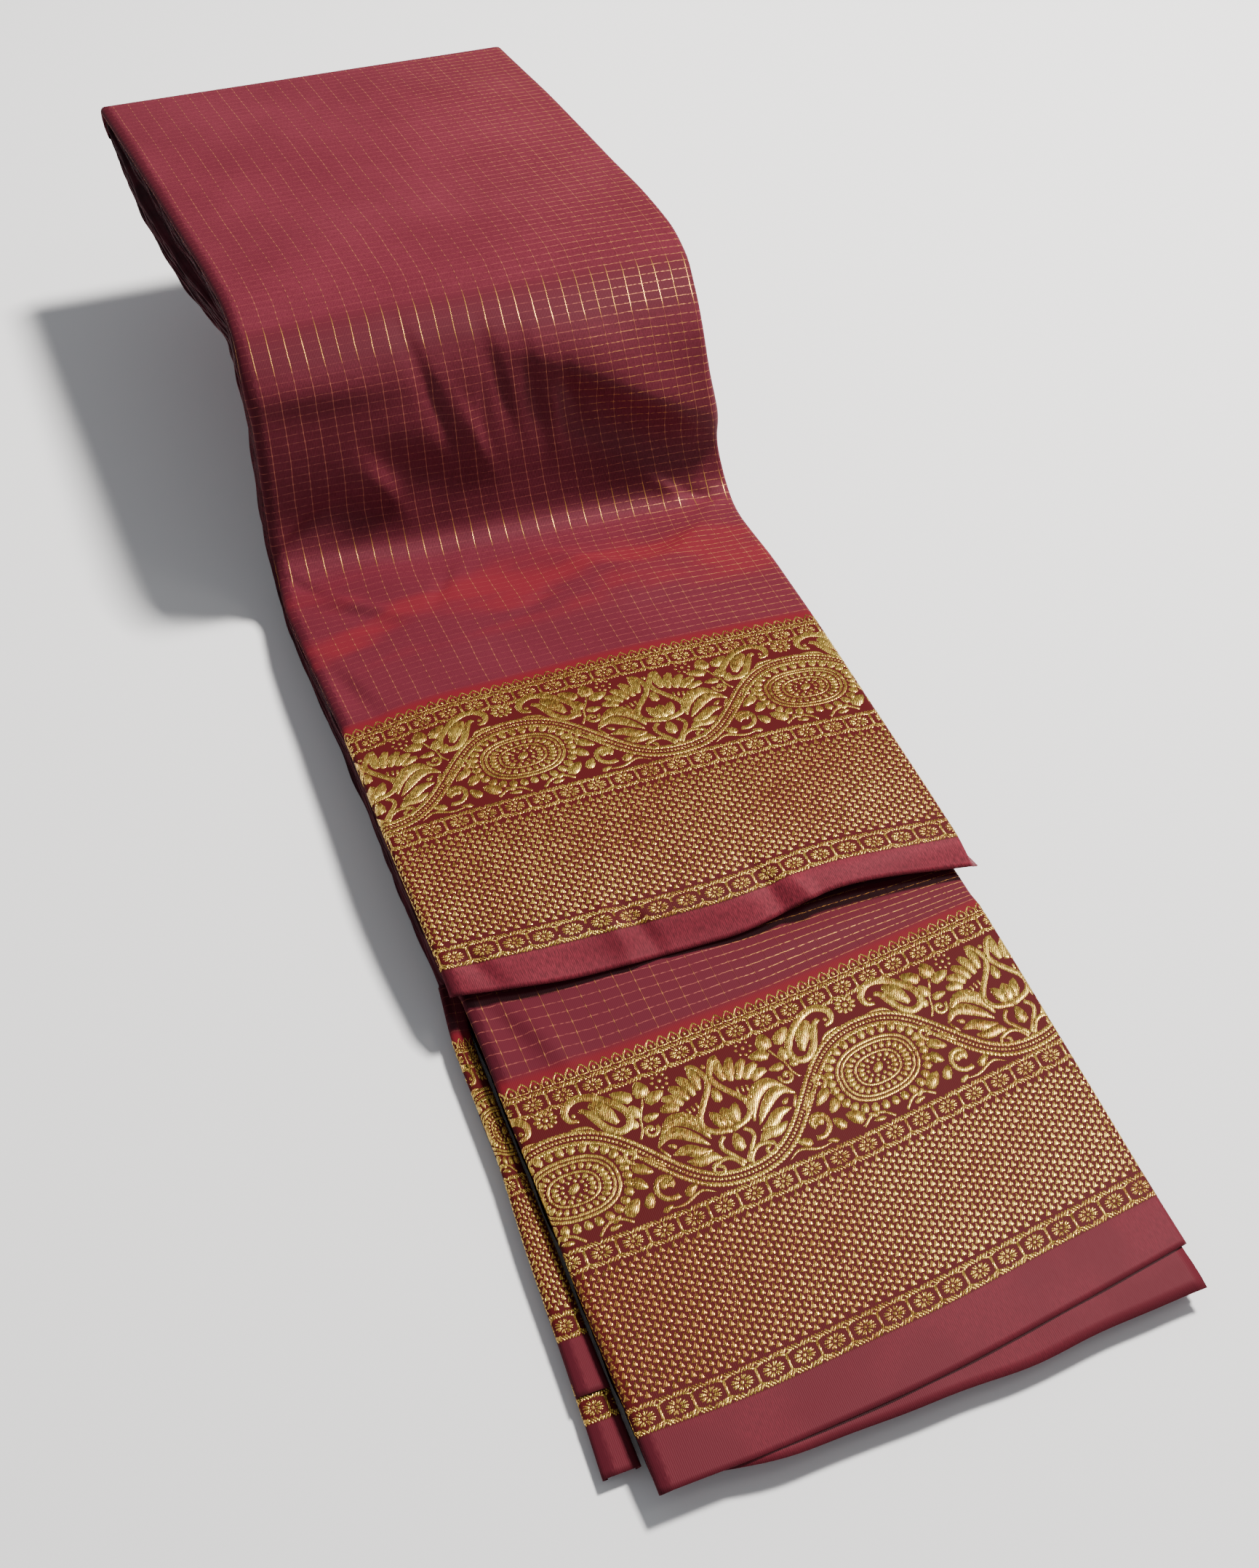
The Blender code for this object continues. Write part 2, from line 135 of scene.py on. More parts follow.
# Soft troughs and ridges: middle along and across, reach each way, height, turn in degrees, and how
# much steeper the fold is on one flank
upperFolds = (
    (290, 40, 30, 10, 2.0, 24, 0),
    (300, 74, 30, 11, -1.5, 16, 0),
    (322, 126, 40, 12, 2.2, 6, 0),
    (346, 70, 40, 16, -1.2, -10, 0),
    (236, 112, 22, 34, -2.0, 80, 0),
    (238, 66, 18, 34, 1.6, 84, 0),
    (244, 152, 16, 30, 1.4, 96, 0),
    (484, 137, 24, 20, 2.2, 0, 0),
    (484, 74, 26, 18, -1.8, 0, 0),
    (484, 22, 14, 12, 1.2, 0, 0),
    (470, 57, 14, 3.0, 1.2, 80, 0.4),
    (471, 66, 12, 3.0, -1.1, 70, 0.3),
    (470, 112, 14, 3.4, -1.4, 76, 0.4),
    (472, 122, 13, 3.2, 1.4, 66, 0.3),
    (470, 10, 10, 3.2, -1.2, 60, 0.3),
    (227, 150, 42, 10, 4.0, 29, -0.5),
    (247, 150, 34, 9, -2.6, 24, 0),
    (207, 24, 36, 9, 1.8, 2, -0.3),
    (256, 26, 34, 10, -1.4, 0, 0),
    (219, 72, 22, 3.2, -1.7, 78, 0.4),
    (232, 84, 16, 3.4, 1.2, 72, 0.3),
    (218, 98, 17, 3.2, -1.5, 82, 0.3),
    (226, 90, 14, 2.6, -0.9, 96, -0.4),
    (222, 111, 16, 3.0, -1.3, 86, 0.4),
    (232, 118, 14, 3.4, 1.3, 92, 0.2),
    (226, 126, 12, 2.8, -1.0, 80, 0.3),
    (250, 46, 13, 6, 2.0, 62, 0.2),
    (244, 60, 17, 9, -2.2, 30, 0),
    (264, 12, 16, 4, -1.6, -38, 0.4),
    (272, 160, 9, 3.2, 1.6, 40, 0.4),
    (277, 170, 8, 2.6, -1.5, 18, 0),
    (283, 175, 7, 2.6, 1.3, -22, 0),
    (286, 9, 11, 2.6, -1.6, 50, 0.4),
    (296, 20, 19, 3.4, 1.5, 35, 0.4),
    (303, 22, 15, 2.8, -1.5, 30, 0.3),
    (311, 27, 8, 2.8, -1.3, 6, 0.3),
    (299, 56, 9, 2.6, -1.5, -52, 0.4),
    (293, 64, 12, 3.2, 1.0, -48, 0),
    (303, 115, 19, 5.5, 1.9, 38, 0.4),
    (312, 138, 15, 4, 1.7, 2, 0.4),
    (302, 157, 15, 4.6, 1.6, -35, 0.3),
    (298, 140, 17, 8, -1.5, 4, 0),
    (318, 88, 14, 3.4, -1.2, -30, 0.3),
    (340, 7, 15, 4.5, -1.9, 72, 0.3),
    (331, 60, 26, 5, 0.5, -8, 0),
    (336, 130, 24, 5, -0.5, 8, 0),
    (60, 44, 46, 30, 0.7, 50, 0),
    (104, 122, 60, 26, -0.8, 20, 0),
    (140, 60, 40, 18, 0.5, -24, 0),
    (34, 140, 40, 16, 0.6, 30, 0),
    (170, 150, 36, 10, 0.6, 14, 0),
    (175, 28, 26, 8, -0.5, -12, 0),
)
lowerFolds = (
    (60, 60, 50, 30, 0.8, 20, 0),
    (85, 130, 45, 28, -0.6, -15, 0),
    (12, 118, 40, 5, 0.5, -3, 0),
    (13, 13, 12, 4, -1.4, 58, 0.3),
    (20, 23, 12, 5, 1.1, 60, 0),
    (140, 96, 30, 9, 0.5, 6, 0),
    (148, 40, 24, 7, -0.4, -8, 0),
)

# How far the woven cross lines stray from straight ones, by v, at five places across
strayPlaces = (0, 45, 90, 135, 180)
upperStray = {
    -560: (0, 0, 0, 0, 0),
    -75: (0, -1, -1, -1, 0),
    0: (-1.5, -7.2, -7, -4.5, -1),
    58: (-7, -9, -9, -9, -6.5),
    112: (-7, -5.7, -6, -10, -7.7),
    124: (-9.5, -5, -5.5, -12.5, -8),
}
lowerStray = {
    -60: (0.3, 2.2, 2.4, 0.6, -2),
    0: (0.3, 2.2, 2.4, 0.6, -2),
    112: (-0.5, 2.2, 2.3, 0.3, -1.5),
    130: (-3, 0.3, 1.8, 0.5, -1.5),
}
leftStray = {
    -40: (9, 9, 9, 9, 9),
    0: (9, 9, 9, 9, 9),
    100: (0, 0, 0, 0, 0),
    160: (0, 0, 0, 0, 0),
}
noStray = {-20: (0, 0, 0, 0, 0), 160: (0, 0, 0, 0, 0)}


def makeCurve(knots, values):
    # A curve through its rows that never swings past them
    knots = np.asarray(knots, float)
    values = np.asarray(values, float)
    rates = np.diff(values, axis=0) / np.diff(knots)[:, None]
    slopes = np.zeros_like(values)
    slopes[0] = rates[0]
    slopes[-1] = rates[-1]
    steady = rates[:-1] * rates[1:] > 0
    slopes[1:-1][steady] = 2 / (1 / rates[:-1][steady] + 1 / rates[1:][steady])
    return knots, values, slopes


def readCurve(curve, at):
    knots, values, slopes = curve
    index = np.clip(np.searchsorted(knots, at) - 1, 0, len(knots) - 2)
    span = (knots[index + 1] - knots[index])[:, None]
    t = (at - knots[index])[:, None] / span
    start = (2 * t**3 - 3 * t**2 + 1) * values[index] + (t**3 - 2 * t**2 + t) * span * slopes[index]
    return start + (3 * t**2 - 2 * t**3) * values[index + 1] + (t**3 - t**2) * span * slopes[index + 1]


def makeForm(rows, folds, stray, width, edgeRadius, tips=None, drop=0.0, nose=False, opening=0.0):
    # tips: where the scallops' tips lie, if not where the border starts. opening: how much of its turn the
    # right edge has lost at the free edge
    values = np.array(list(rows.values()), float)
    values[:, 1] -= drop
    knots = np.concatenate([[0.0], np.cumsum(np.hypot(*np.diff(values[:, :2], axis=0).T))])
    places = dict(zip(rows, knots))
    strayKnots = np.array(strayPlaces) * width / stripWidth
    return {
        "rows": makeCurve(knots, values),
        "places": places,
        "last": knots[-1],
        "folds": folds,
        "strayAt": np.array(list(stray), float),
        "stray": makeCurve(strayKnots, np.array(list(stray.values()), float).T),
        "tips": places["borderStart"] if tips is None else tips,
        "width": width,
        "edgeRadius": edgeRadius,
        "nose": nose,
        "opening": opening,
    }


# From the strip's own places to the shared frame, read off two CAD nodes
raisedCorner = 4.0
seamHalf = 0.15
borderLine = upperRows["borderStart"][0] + seamHalf - upperRows["borderStart"][6] / 2
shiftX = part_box("far_fold")[0][0] - (upperRows["far"][4] + raisedCorner) * mm
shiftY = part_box("upper_border")[1][1] + borderLine * mm
noseRadius = 6.0
openLength = 34.0


def readStray(form, x, v):
    columns = readCurve(form["stray"], np.clip(x, 0, form["width"]))
    marks = form["strayAt"]
    index = np.clip(np.searchsorted(marks, v) - 1, 0, len(marks) - 2)
    share = np.clip((v - marks[index]) / (marks[index + 1] - marks[index]), 0, 1)
    share = share * share * (3 - 2 * share)
    each = np.arange(len(x))
    return columns[each, index] * (1 - share) + columns[each, index + 1] * share


def readFolds(form, across, s):
    total = np.zeros_like(s)
    for along, middle, halfLength, halfWidth, height, turn, lean in form["folds"]:
        turn = math.radians(turn)
        step = s - along
        side = across - middle
        alongFold = side * math.cos(turn) + step * math.sin(turn)
        overFold = step * math.cos(turn) - side * math.sin(turn)
        reach = halfWidth * (1 + lean * np.tanh(overFold / halfWidth))
        total += height * np.exp(-((alongFold / halfLength) ** 2) - (overFold / reach) ** 2)
    return total


def slopeOf(form, s):
    nudge = 0.4
    ahead = readCurve(form["rows"], np.minimum(s + nudge, form["last"]))
    behind = readCurve(form["rows"], np.maximum(s - nudge, 0))
    return np.arctan2(ahead[:, 1] - behind[:, 1], ahead[:, 0] - behind[:, 0])


def toWorld(across, along, height):
    return np.stack([across * mm + shiftX, shiftY - along * mm, np.maximum(height, 0) * mm], axis=1)


def placeCloth(form, x, v, lift):
    # Lays flat cloth on its form: round the far nose, and down round the folded edges at both sides
    s = form["tips"] + v + readStray(form, x, v)
    onRows = np.clip(s, 0, form["last"])
    row = readCurve(form["rows"], onRows)
    slope = slopeOf(form, onRows)
    before = np.maximum(-s, 0)
    onNose = before if form["nose"] else np.zeros_like(before)
    turn = np.minimum(onNose / noseRadius, math.pi - slope)
    lap = np.maximum(onNose - noseRadius * (math.pi - slope), 0)
    angle = slope + turn
    beyond = np.maximum(s - form["last"], 0)
    along = row[:, 0] + noseRadius * (np.sin(slope) - np.sin(angle)) + lap + beyond * np.cos(slope)
    height = row[:, 1] + noseRadius * (np.cos(angle) - np.cos(slope)) + beyond * np.sin(slope)
    along -= before - onNose

    radius = form["edgeRadius"]
    half = radius * math.pi / 2
    left, right = row[:, 4], row[:, 5]
    inner = np.clip(x, half, form["width"] - half)
    across = left + radius + (right - left - 2 * radius) * (inner - half) / (form["width"] - 2 * half)
    over = x - inner
    nearEnd = np.clip((s - form["last"]) / openLength + 1, 0, 1)
    limit = math.pi * (1 - form["opening"] * nearEnd * (over > 0))
    wrap = np.sign(over) * np.minimum(np.abs(over) / radius, limit)
    rest = np.maximum(np.abs(over) - radius * limit, 0)
    fade = np.where(onNose > 0, np.exp(-onNose / noseRadius), 1.0) * np.clip(1 - np.abs(wrap) / math.pi, 0, 1)
    rise = lift + readFolds(form, across, onRows) * fade
    up = (radius + rise) * np.cos(wrap) - radius - rest * np.sin(limit)
    across = across + (radius + rise) * np.sin(wrap) + np.sign(over) * rest * np.cos(limit)
    share = (inner - half) / (form["width"] - 2 * half) - 0.5
    along = along - np.sin(angle) * up + row[:, 6] * share
    height = height + np.cos(angle) * up
    return toWorld(across, along, height)


upperForm = makeForm(upperRows, upperFolds, upperStray, stripWidth, 2.0, nose=True, opening=0.72)
lowerForm = makeForm(lowerRows, lowerFolds, lowerStray, stripWidth, 1.8)
leftForm = makeForm(leftRows, (), leftStray, 13, 1.4, tips=13.0)
leftNextForm = makeForm(leftRows, (), noStray, 13, 1.2, tips=37.3, drop=1.5)


def addPiece(name, mesh, material, nodes=()):
    piece = newObject(name, mesh)
    mesh.materials.append(material)
    mesh.shade_smooth()
    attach(piece, "root")
    if nodes:
        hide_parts(*nodes)
    return piece


def keepMesh(name, built):
    mesh = bpy.data.meshes.new(name)
    built.to_mesh(mesh)
    built.free()
    return mesh


def layFlat(name, flat, form, baseLift=0.0):
    # The flat mesh keeps its own places as the cloth's UV map, then goes to its place on the form
    flat.normal_update()
    uv = flat.loops.layers.uv.new("cloth")
    for face in flat.faces:
        for loop in face.loops:
            loop[uv].uv = (loop.vert.co.x * mm, loop.vert.co.y * mm)
    bmesh.ops.reverse_faces(flat, faces=flat.faces)
    mesh = keepMesh(name, flat)
    places = np.empty(len(mesh.vertices) * 3)
    mesh.vertices.foreach_get("co", places)
    places = places.reshape(-1, 3)
    laid = placeCloth(form, places[:, 0], places[:, 1], places[:, 2] + baseLift)
    mesh.vertices.foreach_set("co", laid.ravel())
    mesh.update()
    return mesh


def evenSteps(first, last, pitch):
    return np.linspace(first, last, max(int(math.ceil((last - first) / pitch)), 1) + 1)


edgeTuck = 2.5
edgePitch = 0.8


def acrossSteps(form, pitch, tuck=edgeTuck):
    half = form["edgeRadius"] * math.pi / 2
    edge = evenSteps(-half - tuck, half, edgePitch)
    middle = evenSteps(half, form["width"] - half, pitch)
    return np.concatenate([edge[:-1], middle, form["width"] - edge[::-1][1:]])


def placedGrid(columns, rows, placeOf):
    # A grid of faces whose corners go where their column and row say
    grid = bmesh.new()
    bmesh.ops.create_grid(grid, x_segments=columns - 1, y_segments=rows - 1, size=1)
    for vert in grid.verts:
        column = round((vert.co.x + 1) / 2 * (columns - 1))
        row = round((vert.co.y + 1) / 2 * (rows - 1))
        vert.co = placeOf(column, row)
    return grid


def flatGrid(xs, vs):
    return placedGrid(len(xs), len(vs), lambda column, row: (xs[column], vs[row], 0))


def addWall(piece, thickness):
    wall = piece.modifiers.new("wall", "SOLIDIFY")
    wall.thickness = thickness * mm
    wall.offset = -1
    return piece


# Materials. What works on a node's output puts its own nodes in the same tree
def newMaterial(name):
    material = bpy.data.materials.new(name)
    material.use_nodes = True
    return material, material.node_tree.nodes["Principled BSDF"]


def feed(socket, value):
    if isinstance(value, bpy.types.NodeSocket):
        socket.id_data.links.new(value, socket)
    else:
        socket.default_value = value


def calc(operation, *values):
    outputs = [value for value in values if isinstance(value, bpy.types.NodeSocket)]
    node = outputs[0].id_data.nodes.new("ShaderNodeMath")
    node.operation = operation
    for socket, value in zip(node.inputs, values):
        feed(socket, value)
    return node.outputs[0]


def addUp(total, *others):
    for other in others:
        total = calc("ADD", total, other)
    return total


def times(total, *others):
    for other in others:
        total = calc("MULTIPLY", total, other)
    return total


def larger(first, second):
    return calc("MAXIMUM", first, second)


def oneMinus(value):
    return calc("SUBTRACT", 1.0, value)


def ramp(value, low, high, start=0.0, end=1.0):
    node = value.id_data.nodes.new("ShaderNodeMapRange")
    node.interpolation_type = "SMOOTHSTEP"
    feed(node.inputs["Value"], value)
    for name, number in (("From Min", low), ("From Max", high), ("To Min", start), ("To Max", end)):
        node.inputs[name].default_value = number
    return node.outputs[0]


def within(value, stretch):
    # 1 along a stretch, given by where it starts, is full, fades and ends
    start, full, fading, end = stretch
    return times(ramp(value, start, full), ramp(value, fading, end, 1.0, 0.0))


def blendColours(share, first, second):
    # Sockets 6 and 7 are the two colours, and output 2 their blend
    node = share.id_data.nodes.new("ShaderNodeMix")
    node.data_type = "RGBA"
    for number, value in ((0, share), (6, first), (7, second)):
        feed(node.inputs[number], value)
    return node.outputs[2]


def joinPlaces(x, y, z=0.0):
    node = x.id_data.nodes.new("ShaderNodeCombineXYZ")
    for socket, value in zip(node.inputs, (x, y, z)):
        feed(socket, value)
    return node.outputs[0]


def noiseOf(place, scale, detail=2.0):
    node = place.id_data.nodes.new("ShaderNodeTexNoise")
    feed(node.inputs["Vector"], place)
    node.inputs["Scale"].default_value = scale
    node.inputs["Detail"].default_value = detail
    return node.outputs["Fac"]


def streaksOf(x, v, acrossScale, alongScale, detail=2.0):
    # Noise that is finer one way than the other
    return noiseOf(joinPlaces(times(x, acrossScale), times(v, alongScale)), 1.0, detail)


def newCloth(name):
    # A material, its shader, and the cloth's own x and v in millimetres
    material, shader = newMaterial(name)
    uv = material.node_tree.nodes.new("ShaderNodeUVMap")
    uv.uv_map = "cloth"
    split = material.node_tree.nodes.new("ShaderNodeSeparateXYZ")
    feed(split.inputs[0], uv.outputs["UV"])
    return material, shader, calc("DIVIDE", split.outputs[0], mm), calc("DIVIDE", split.outputs[1], mm)


def fromLine(place, pitch):
    # Distance from the nearest of a row of lines, in millimetres
    turn = calc("FRACT", addUp(calc("DIVIDE", place, pitch), 0.5))
    return times(calc("ABSOLUTE", calc("SUBTRACT", turn, 0.5)), pitch)


def setBump(shader, height, distance):
    bump = height.id_data.nodes.new("ShaderNodeBump")
    bump.inputs["Distance"].default_value = distance
    feed(bump.inputs["Height"], height)
    feed(shader.inputs["Normal"], bump.outputs["Normal"])


silk = {
    "body": (0.138, 0.0205, 0.0335, 1),
    "bodyDark": (0.090, 0.0118, 0.0198, 1),
    "warm": (0.160, 0.0130, 0.0200, 1),
    "crimson": (0.132, 0.0095, 0.0150, 1),
    "ground": (0.066, 0.0062, 0.0070, 1),
    "satin": (0.202, 0.0230, 0.0370, 1),
    "satinDark": (0.100, 0.0130, 0.0205, 1),
    # edgeShade: painted shade for the left folded edge
    "edgeShade": (0.045, 0.0050, 0.0100, 1),
    # layers, layersDark: the piles' folded sides, painted dark as shade
    "layers": (0.075, 0.0085, 0.0160, 1),
    "layersDark": (0.030, 0.0035, 0.0070, 1),
    "thread": (0.43, 0.125, 0.088, 1),
    "threadBright": (1.00, 0.52, 0.10, 1),
    "lengthPitch": 6.3,
    "crossPitch": 3.26,
    "ribPitch": 0.58,
    "borderHeight": 112.4,
}

# Stretches of v: where each starts, is full, fades and ends
silkParts = {
    "bend": (-186.0, -178.0, -167.0, -159.0),
    "fall": (-164.0, -154.0, -97.0, -89.0),
    "foot": (-98.0, -93.0, -84.0, -78.0),
    "warm": (-82.0, -62.0, -36.0, -24.0),
    "crimson": (-4.6, -0.8, 1.2, 2.2),
}

# Where across each leaf the cross threads come in, how well they show and spark (painted highlights, growing
# towards the right), how far the long threads fade there and spark, and how much darker the silk is, as
# painted shade
upperCheck = {"crossFrom": 80.0, "crossTo": 160.0, "crossStart": 0.16, "crossShow": 0.75, "crossSparks": 0.85,
              "longFade": 0.0, "longSparks": 0.3, "shade": 0.0}
lowerCheck = {"crossFrom": 45.0, "crossTo": 105.0, "crossStart": 0.42, "crossShow": 1.0, "crossSparks": 1.0,
              "longFade": 0.6, "longSparks": 0.6, "shade": 0.5}


def weaveCheck(x, v, check, fallen, paintedGlintZone, litFall):
    # Long threads, brightest where they cross, and broken cross threads that show better towards the right,
    # as a painted highlight, and where the cloth falls. Gives the lines, how much they spark, and their
    # relief
    drift = times(calc("SUBTRACT", noiseOf(joinPlaces(x, v), 0.05), 0.5), 0.9)
    vLine = addUp(v, drift)
    fromCross = fromLine(vLine, silk["crossPitch"])
    onBody = ramp(v, -3.6, -2.8, 1.0, 0.0)
    towardsRight = (x, check["crossFrom"], check["crossTo"])

    longLine = ramp(fromLine(addUp(x, drift), silk["lengthPitch"]), 0.06, 0.19, 1.0, 0.0)
    knot = times(longLine, ramp(fromCross, 0.20, 0.75, 1.0, 0.0))
    patchy = ramp(streaksOf(x, v, 0.05, 0.03), 0.36, 0.66)
    steady = addUp(times(patchy, 0.13), times(fallen, ramp(x, 100.0, 140.0, 0.40, 0.08)), 0.05)
    longKeep = ramp(*towardsRight, 1.0, 1.0 - check["longFade"])
    longShow = times(addUp(times(longLine, steady), times(knot, 0.40)), longKeep)

    lineNumber = calc("FLOOR", calc("DIVIDE", vLine, silk["crossPitch"]))
    shifted = addUp(x, times(calc("SINE", times(lineNumber, 12.9)), 4.0))
    dash = ramp(noiseOf(joinPlaces(times(shifted, 0.55), lineNumber), 1.0, 0.0), 0.42, 0.56)
    # Painted highlight: cross threads show more towards the right, where they catch the light
    crossShow = larger(ramp(*towardsRight, check["crossStart"], check["crossShow"]), times(fallen, 0.5))
    crossLine = times(ramp(fromCross, 0.07, 0.20, 1.0, 0.0), addUp(times(dash, 0.7), 0.12), crossShow)
    lines = times(larger(longShow, crossLine), onBody)

    nearCross = ramp(fromCross, 0.3, 1.5, 1.0, 0.25)
    longSparks = times(longLine, nearCross, onBody, longKeep, check["longSparks"])
    # Painted glints: the long threads spark fully where the cloth turns at the bend and the foot
    longSparks = larger(longSparks, times(longLine, paintedGlintZone, onBody))
    # Painted highlight: cross-thread sparks grow towards the right
    crossSparks = ramp(x, check["crossFrom"] + 30.0, check["crossTo"] + 5.0, 0.0, check["crossSparks"])
    # Painted shade and light: cross-thread sparks are dimmed over the shaded fall and full on its lit right
    # part
    crossSparks = larger(times(crossSparks, oneMinus(times(fallen, 0.8))), litFall)
    sparks = larger(longSparks, times(crossLine, crossSparks, onBody))
    # Painted shade: all sparks are dimmed over the fall's shaded left part
    sparks = times(sparks, oneMinus(times(fallen, ramp(x, 105.0, 145.0, 0.8, 0.0))))
    return lines, sparks, times(longLine, onBody, 0.7)


def dyeSilk(x, v, check, bend, rib, slub, paintedEdgeShade):
    # The silk's own colours, from the body to the selvedge, with slow changes of tone, and painted shade over
    # the bend, from the low stretch on, on the darker copy for the lower leaf, and along the left folded edge
    broad = noiseOf(joinPlaces(x, v), 0.022, 3.0)
    streak = streaksOf(x, v, 0.10, 1.6)
    tone = addUp(times(rib, 0.12), times(slub, 0.9), times(streak, 0.5), times(broad, 0.7))
    body = blendColours(ramp(tone, 0.75, 1.45), silk["bodyDark"], silk["body"])
    # Painted shade: darker over the bend, from the low stretch on, and by the check's shade
    shade = addUp(bend, ramp(v, -86.0, -70.0, 0.0, 0.55), check["shade"])
    body = blendColours(shade, body, silk["bodyDark"])
    # Painted shade along the left folded edge
    body = blendColours(paintedEdgeShade, body, silk["edgeShade"])
    flushed = ramp(streaksOf(x, v, 0.016, 0.045), 0.42, 0.62)
    body = blendColours(times(within(v, silkParts["warm"]), flushed, 0.7), body, silk["warm"])

    satin = blendColours(ramp(slub, 0.3, 0.7), silk["satinDark"], silk["satin"])
    # Random darker patches of the satin, plus the check's painted shade
    satinShade = addUp(ramp(broad, 0.4, 0.6, 0.0, 0.35), check["shade"] * 1.5)
    satin = blendColours(satinShade, satin, silk["satinDark"])
    # Painted shade on the selvedge along the left folded edge
    satin = blendColours(times(paintedEdgeShade, 0.8), satin, silk["edgeShade"])

    selvedge = ramp(v, silk["borderHeight"], silk["borderHeight"] + 0.8)
    inBorder = times(ramp(v, 0.8, 1.8), oneMinus(selvedge))
    colour = blendColours(within(v, silkParts["crimson"]), body, silk["crimson"])
    colour = blendColours(inBorder, colour, silk["ground"])
    return blendColours(selvedge, colour, satin)


def makeSilk(name, check):
    material, shader, x, v = newCloth(name)
    bend, fallen, foot = (within(v, silkParts[part]) for part in ("bend", "fall", "foot"))
    # Painted glints: threads are painted as sparking where the cloth turns at the bend and the foot, and on
    # the fall's lit right part
    paintedGlintZone = larger(bend, foot)
    litFall = times(fallen, ramp(x, 100.0, 130.0), ramp(v, -128.0, -116.0, 1.0, 0.0))
    lines, sparks, relief = weaveCheck(x, v, check, fallen, paintedGlintZone, litFall)
    rib = calc("SINE", times(x, 2 * math.pi / silk["ribPitch"]))
    slub = streaksOf(x, v, 2.6, 0.5, 3.0)
    # Painted shade along the left folded edge, where the cloth turns away from the light; the same mask also
    # roughens it
    paintedEdgeShade = ramp(addUp(x, times(slub, 3.4)), 5.0, 7.8, 0.85, 0.0)
    ground = dyeSilk(x, v, check, bend, rib, slub, paintedEdgeShade)
    threadColour = blendColours(sparks, silk["thread"], silk["threadBright"])
    # Painted highlight: sparking threads are painted brighter gold in those zones
    shining = times(sparks, addUp(times(paintedGlintZone, 0.55), times(litFall, 0.5), 0.12))
    roughness = addUp(times(paintedEdgeShade, 0.4), 0.55)
    feed(shader.inputs["Base Color"], blendColours(larger(lines, shining), ground, threadColour))
    feed(shader.inputs["Metallic"], addUp(times(sparks, 0.85), 0.06))
    feed(shader.inputs["Roughness"], calc("SUBTRACT", roughness, times(sparks, 0.20)))
    shader.inputs["Sheen Weight"].default_value = 0.05
    shader.inputs["Sheen Roughness"].default_value = 0.4
    shader.inputs["Sheen Tint"].default_value = (0.95, 0.35, 0.42, 1)
    shader.inputs["Specular IOR Level"].default_value = 0.08
    setBump(shader, addUp(times(rib, 0.12), times(slub, 0.35), relief), 0.00010)
    return material


zari = {
    "bright": (0.96, 0.67, 0.13, 1),
    "warm": (0.52, 0.262, 0.055, 1),
    "dark": (0.075, 0.013, 0.004, 1),
    "threadPitch": 0.62,
    "lattice": (61.0, 65.0, 104.0, 106.0),
}


def makeZari(name, latticeShadeAndLight):
    # Metal thread laid in slanting stitches, each catching the light differently. The lattice's painted
    # light: how much less bright thread there is at its left, as painted shade, and how much more at its
    # right, as a painted highlight
    material, shader, x, v = newCloth(name)
    place = joinPlaces(x, v)
    slant = addUp(times(x, 0.86), times(v, 0.50))
    sway = times(noiseOf(place, 0.35), 1.3)
    groove = ramp(fromLine(addUp(slant, sway), zari["threadPitch"]), 0.12, 0.27)
    cells = material.node_tree.nodes.new("ShaderNodeTexVoronoi")
    feed(cells.inputs["Vector"], joinPlaces(times(slant, 1.6), times(v, 0.9)))
    cells.inputs["Scale"].default_value = 1.0
    pick = material.node_tree.nodes.new("ShaderNodeSeparateColor")
    feed(pick.inputs[0], cells.outputs["Color"])
    tint, dullness, height = pick.outputs
    brightShare = ramp(addUp(tint, times(noiseOf(place, 0.03, 1.0), 1.6)), 0.7, 1.7)
    inLattice = within(v, zari["lattice"])
    # Painted shade at the lattice's left and painted highlight at its right
    brightShare = times(brightShare, oneMinus(times(inLattice, ramp(x, 20.0, 110.0, latticeShadeAndLight, 0.0))))
    brightShare = addUp(brightShare, times(inLattice, ramp(x, 85.0, 130.0, 0.0, latticeShadeAndLight * 0.4)))
    colour = blendColours(brightShare, zari["warm"], zari["bright"])
    feed(shader.inputs["Base Color"], blendColours(times(groove, 0.80), colour, zari["dark"]))
    feed(shader.inputs["Metallic"], oneMinus(times(groove, 0.45)))
    feed(shader.inputs["Roughness"], ramp(dullness, 0.0, 1.0, 0.24, 0.50))
    setBump(shader, calc("SUBTRACT", times(height, 0.9), groove), 0.00020)
    return material


def makeLayers(name):
    # The folded edges at the sides: the silk painted dark as shade, with fine lines along the layers
    material, shader = newMaterial(name)
    coordinates = material.node_tree.nodes.new("ShaderNodeTexCoord")
    split = material.node_tree.nodes.new("ShaderNodeSeparateXYZ")
    feed(split.inputs[0], coordinates.outputs["Object"])
    x, y, z = split.outputs
    fine = noiseOf(joinPlaces(times(y, 60.0), times(z, 1400.0), times(x, 60.0)), 1.0, 3.0)
    feed(shader.inputs["Base Color"], blendColours(ramp(fine, 0.3, 0.7), silk["layersDark"], silk["layers"]))
    shader.inputs["Roughness"].default_value = 0.6
    shader.inputs["Specular IOR Level"].default_value = 0.1
    setBump(shader, fine, 0.0002)
    return material


upperSilk = makeSilk("checkedSilk", upperCheck)
# The copy for the lower leaf and the left slice has its own threads, and its silk is painted darker as shade
lowerSilk = makeSilk("lowerCheckedSilk", lowerCheck)
upperZari = makeZari("goldZari", 0.0)
lowerZari = makeZari("lowerGoldZari", 1.0)
layerMaterial = makeLayers("layeredSilk")
print("materials made")

# The two leaves and the left slice's two, each one sheet
clothWall = 0.35
upperSheet = {"farLap": 4.0, "farPitch": 1.6, "pitch": 1.7, "edge": 124.0}
lowerSheet = {"start": -36.0, "pitch": 1.9, "edge": 130.0}


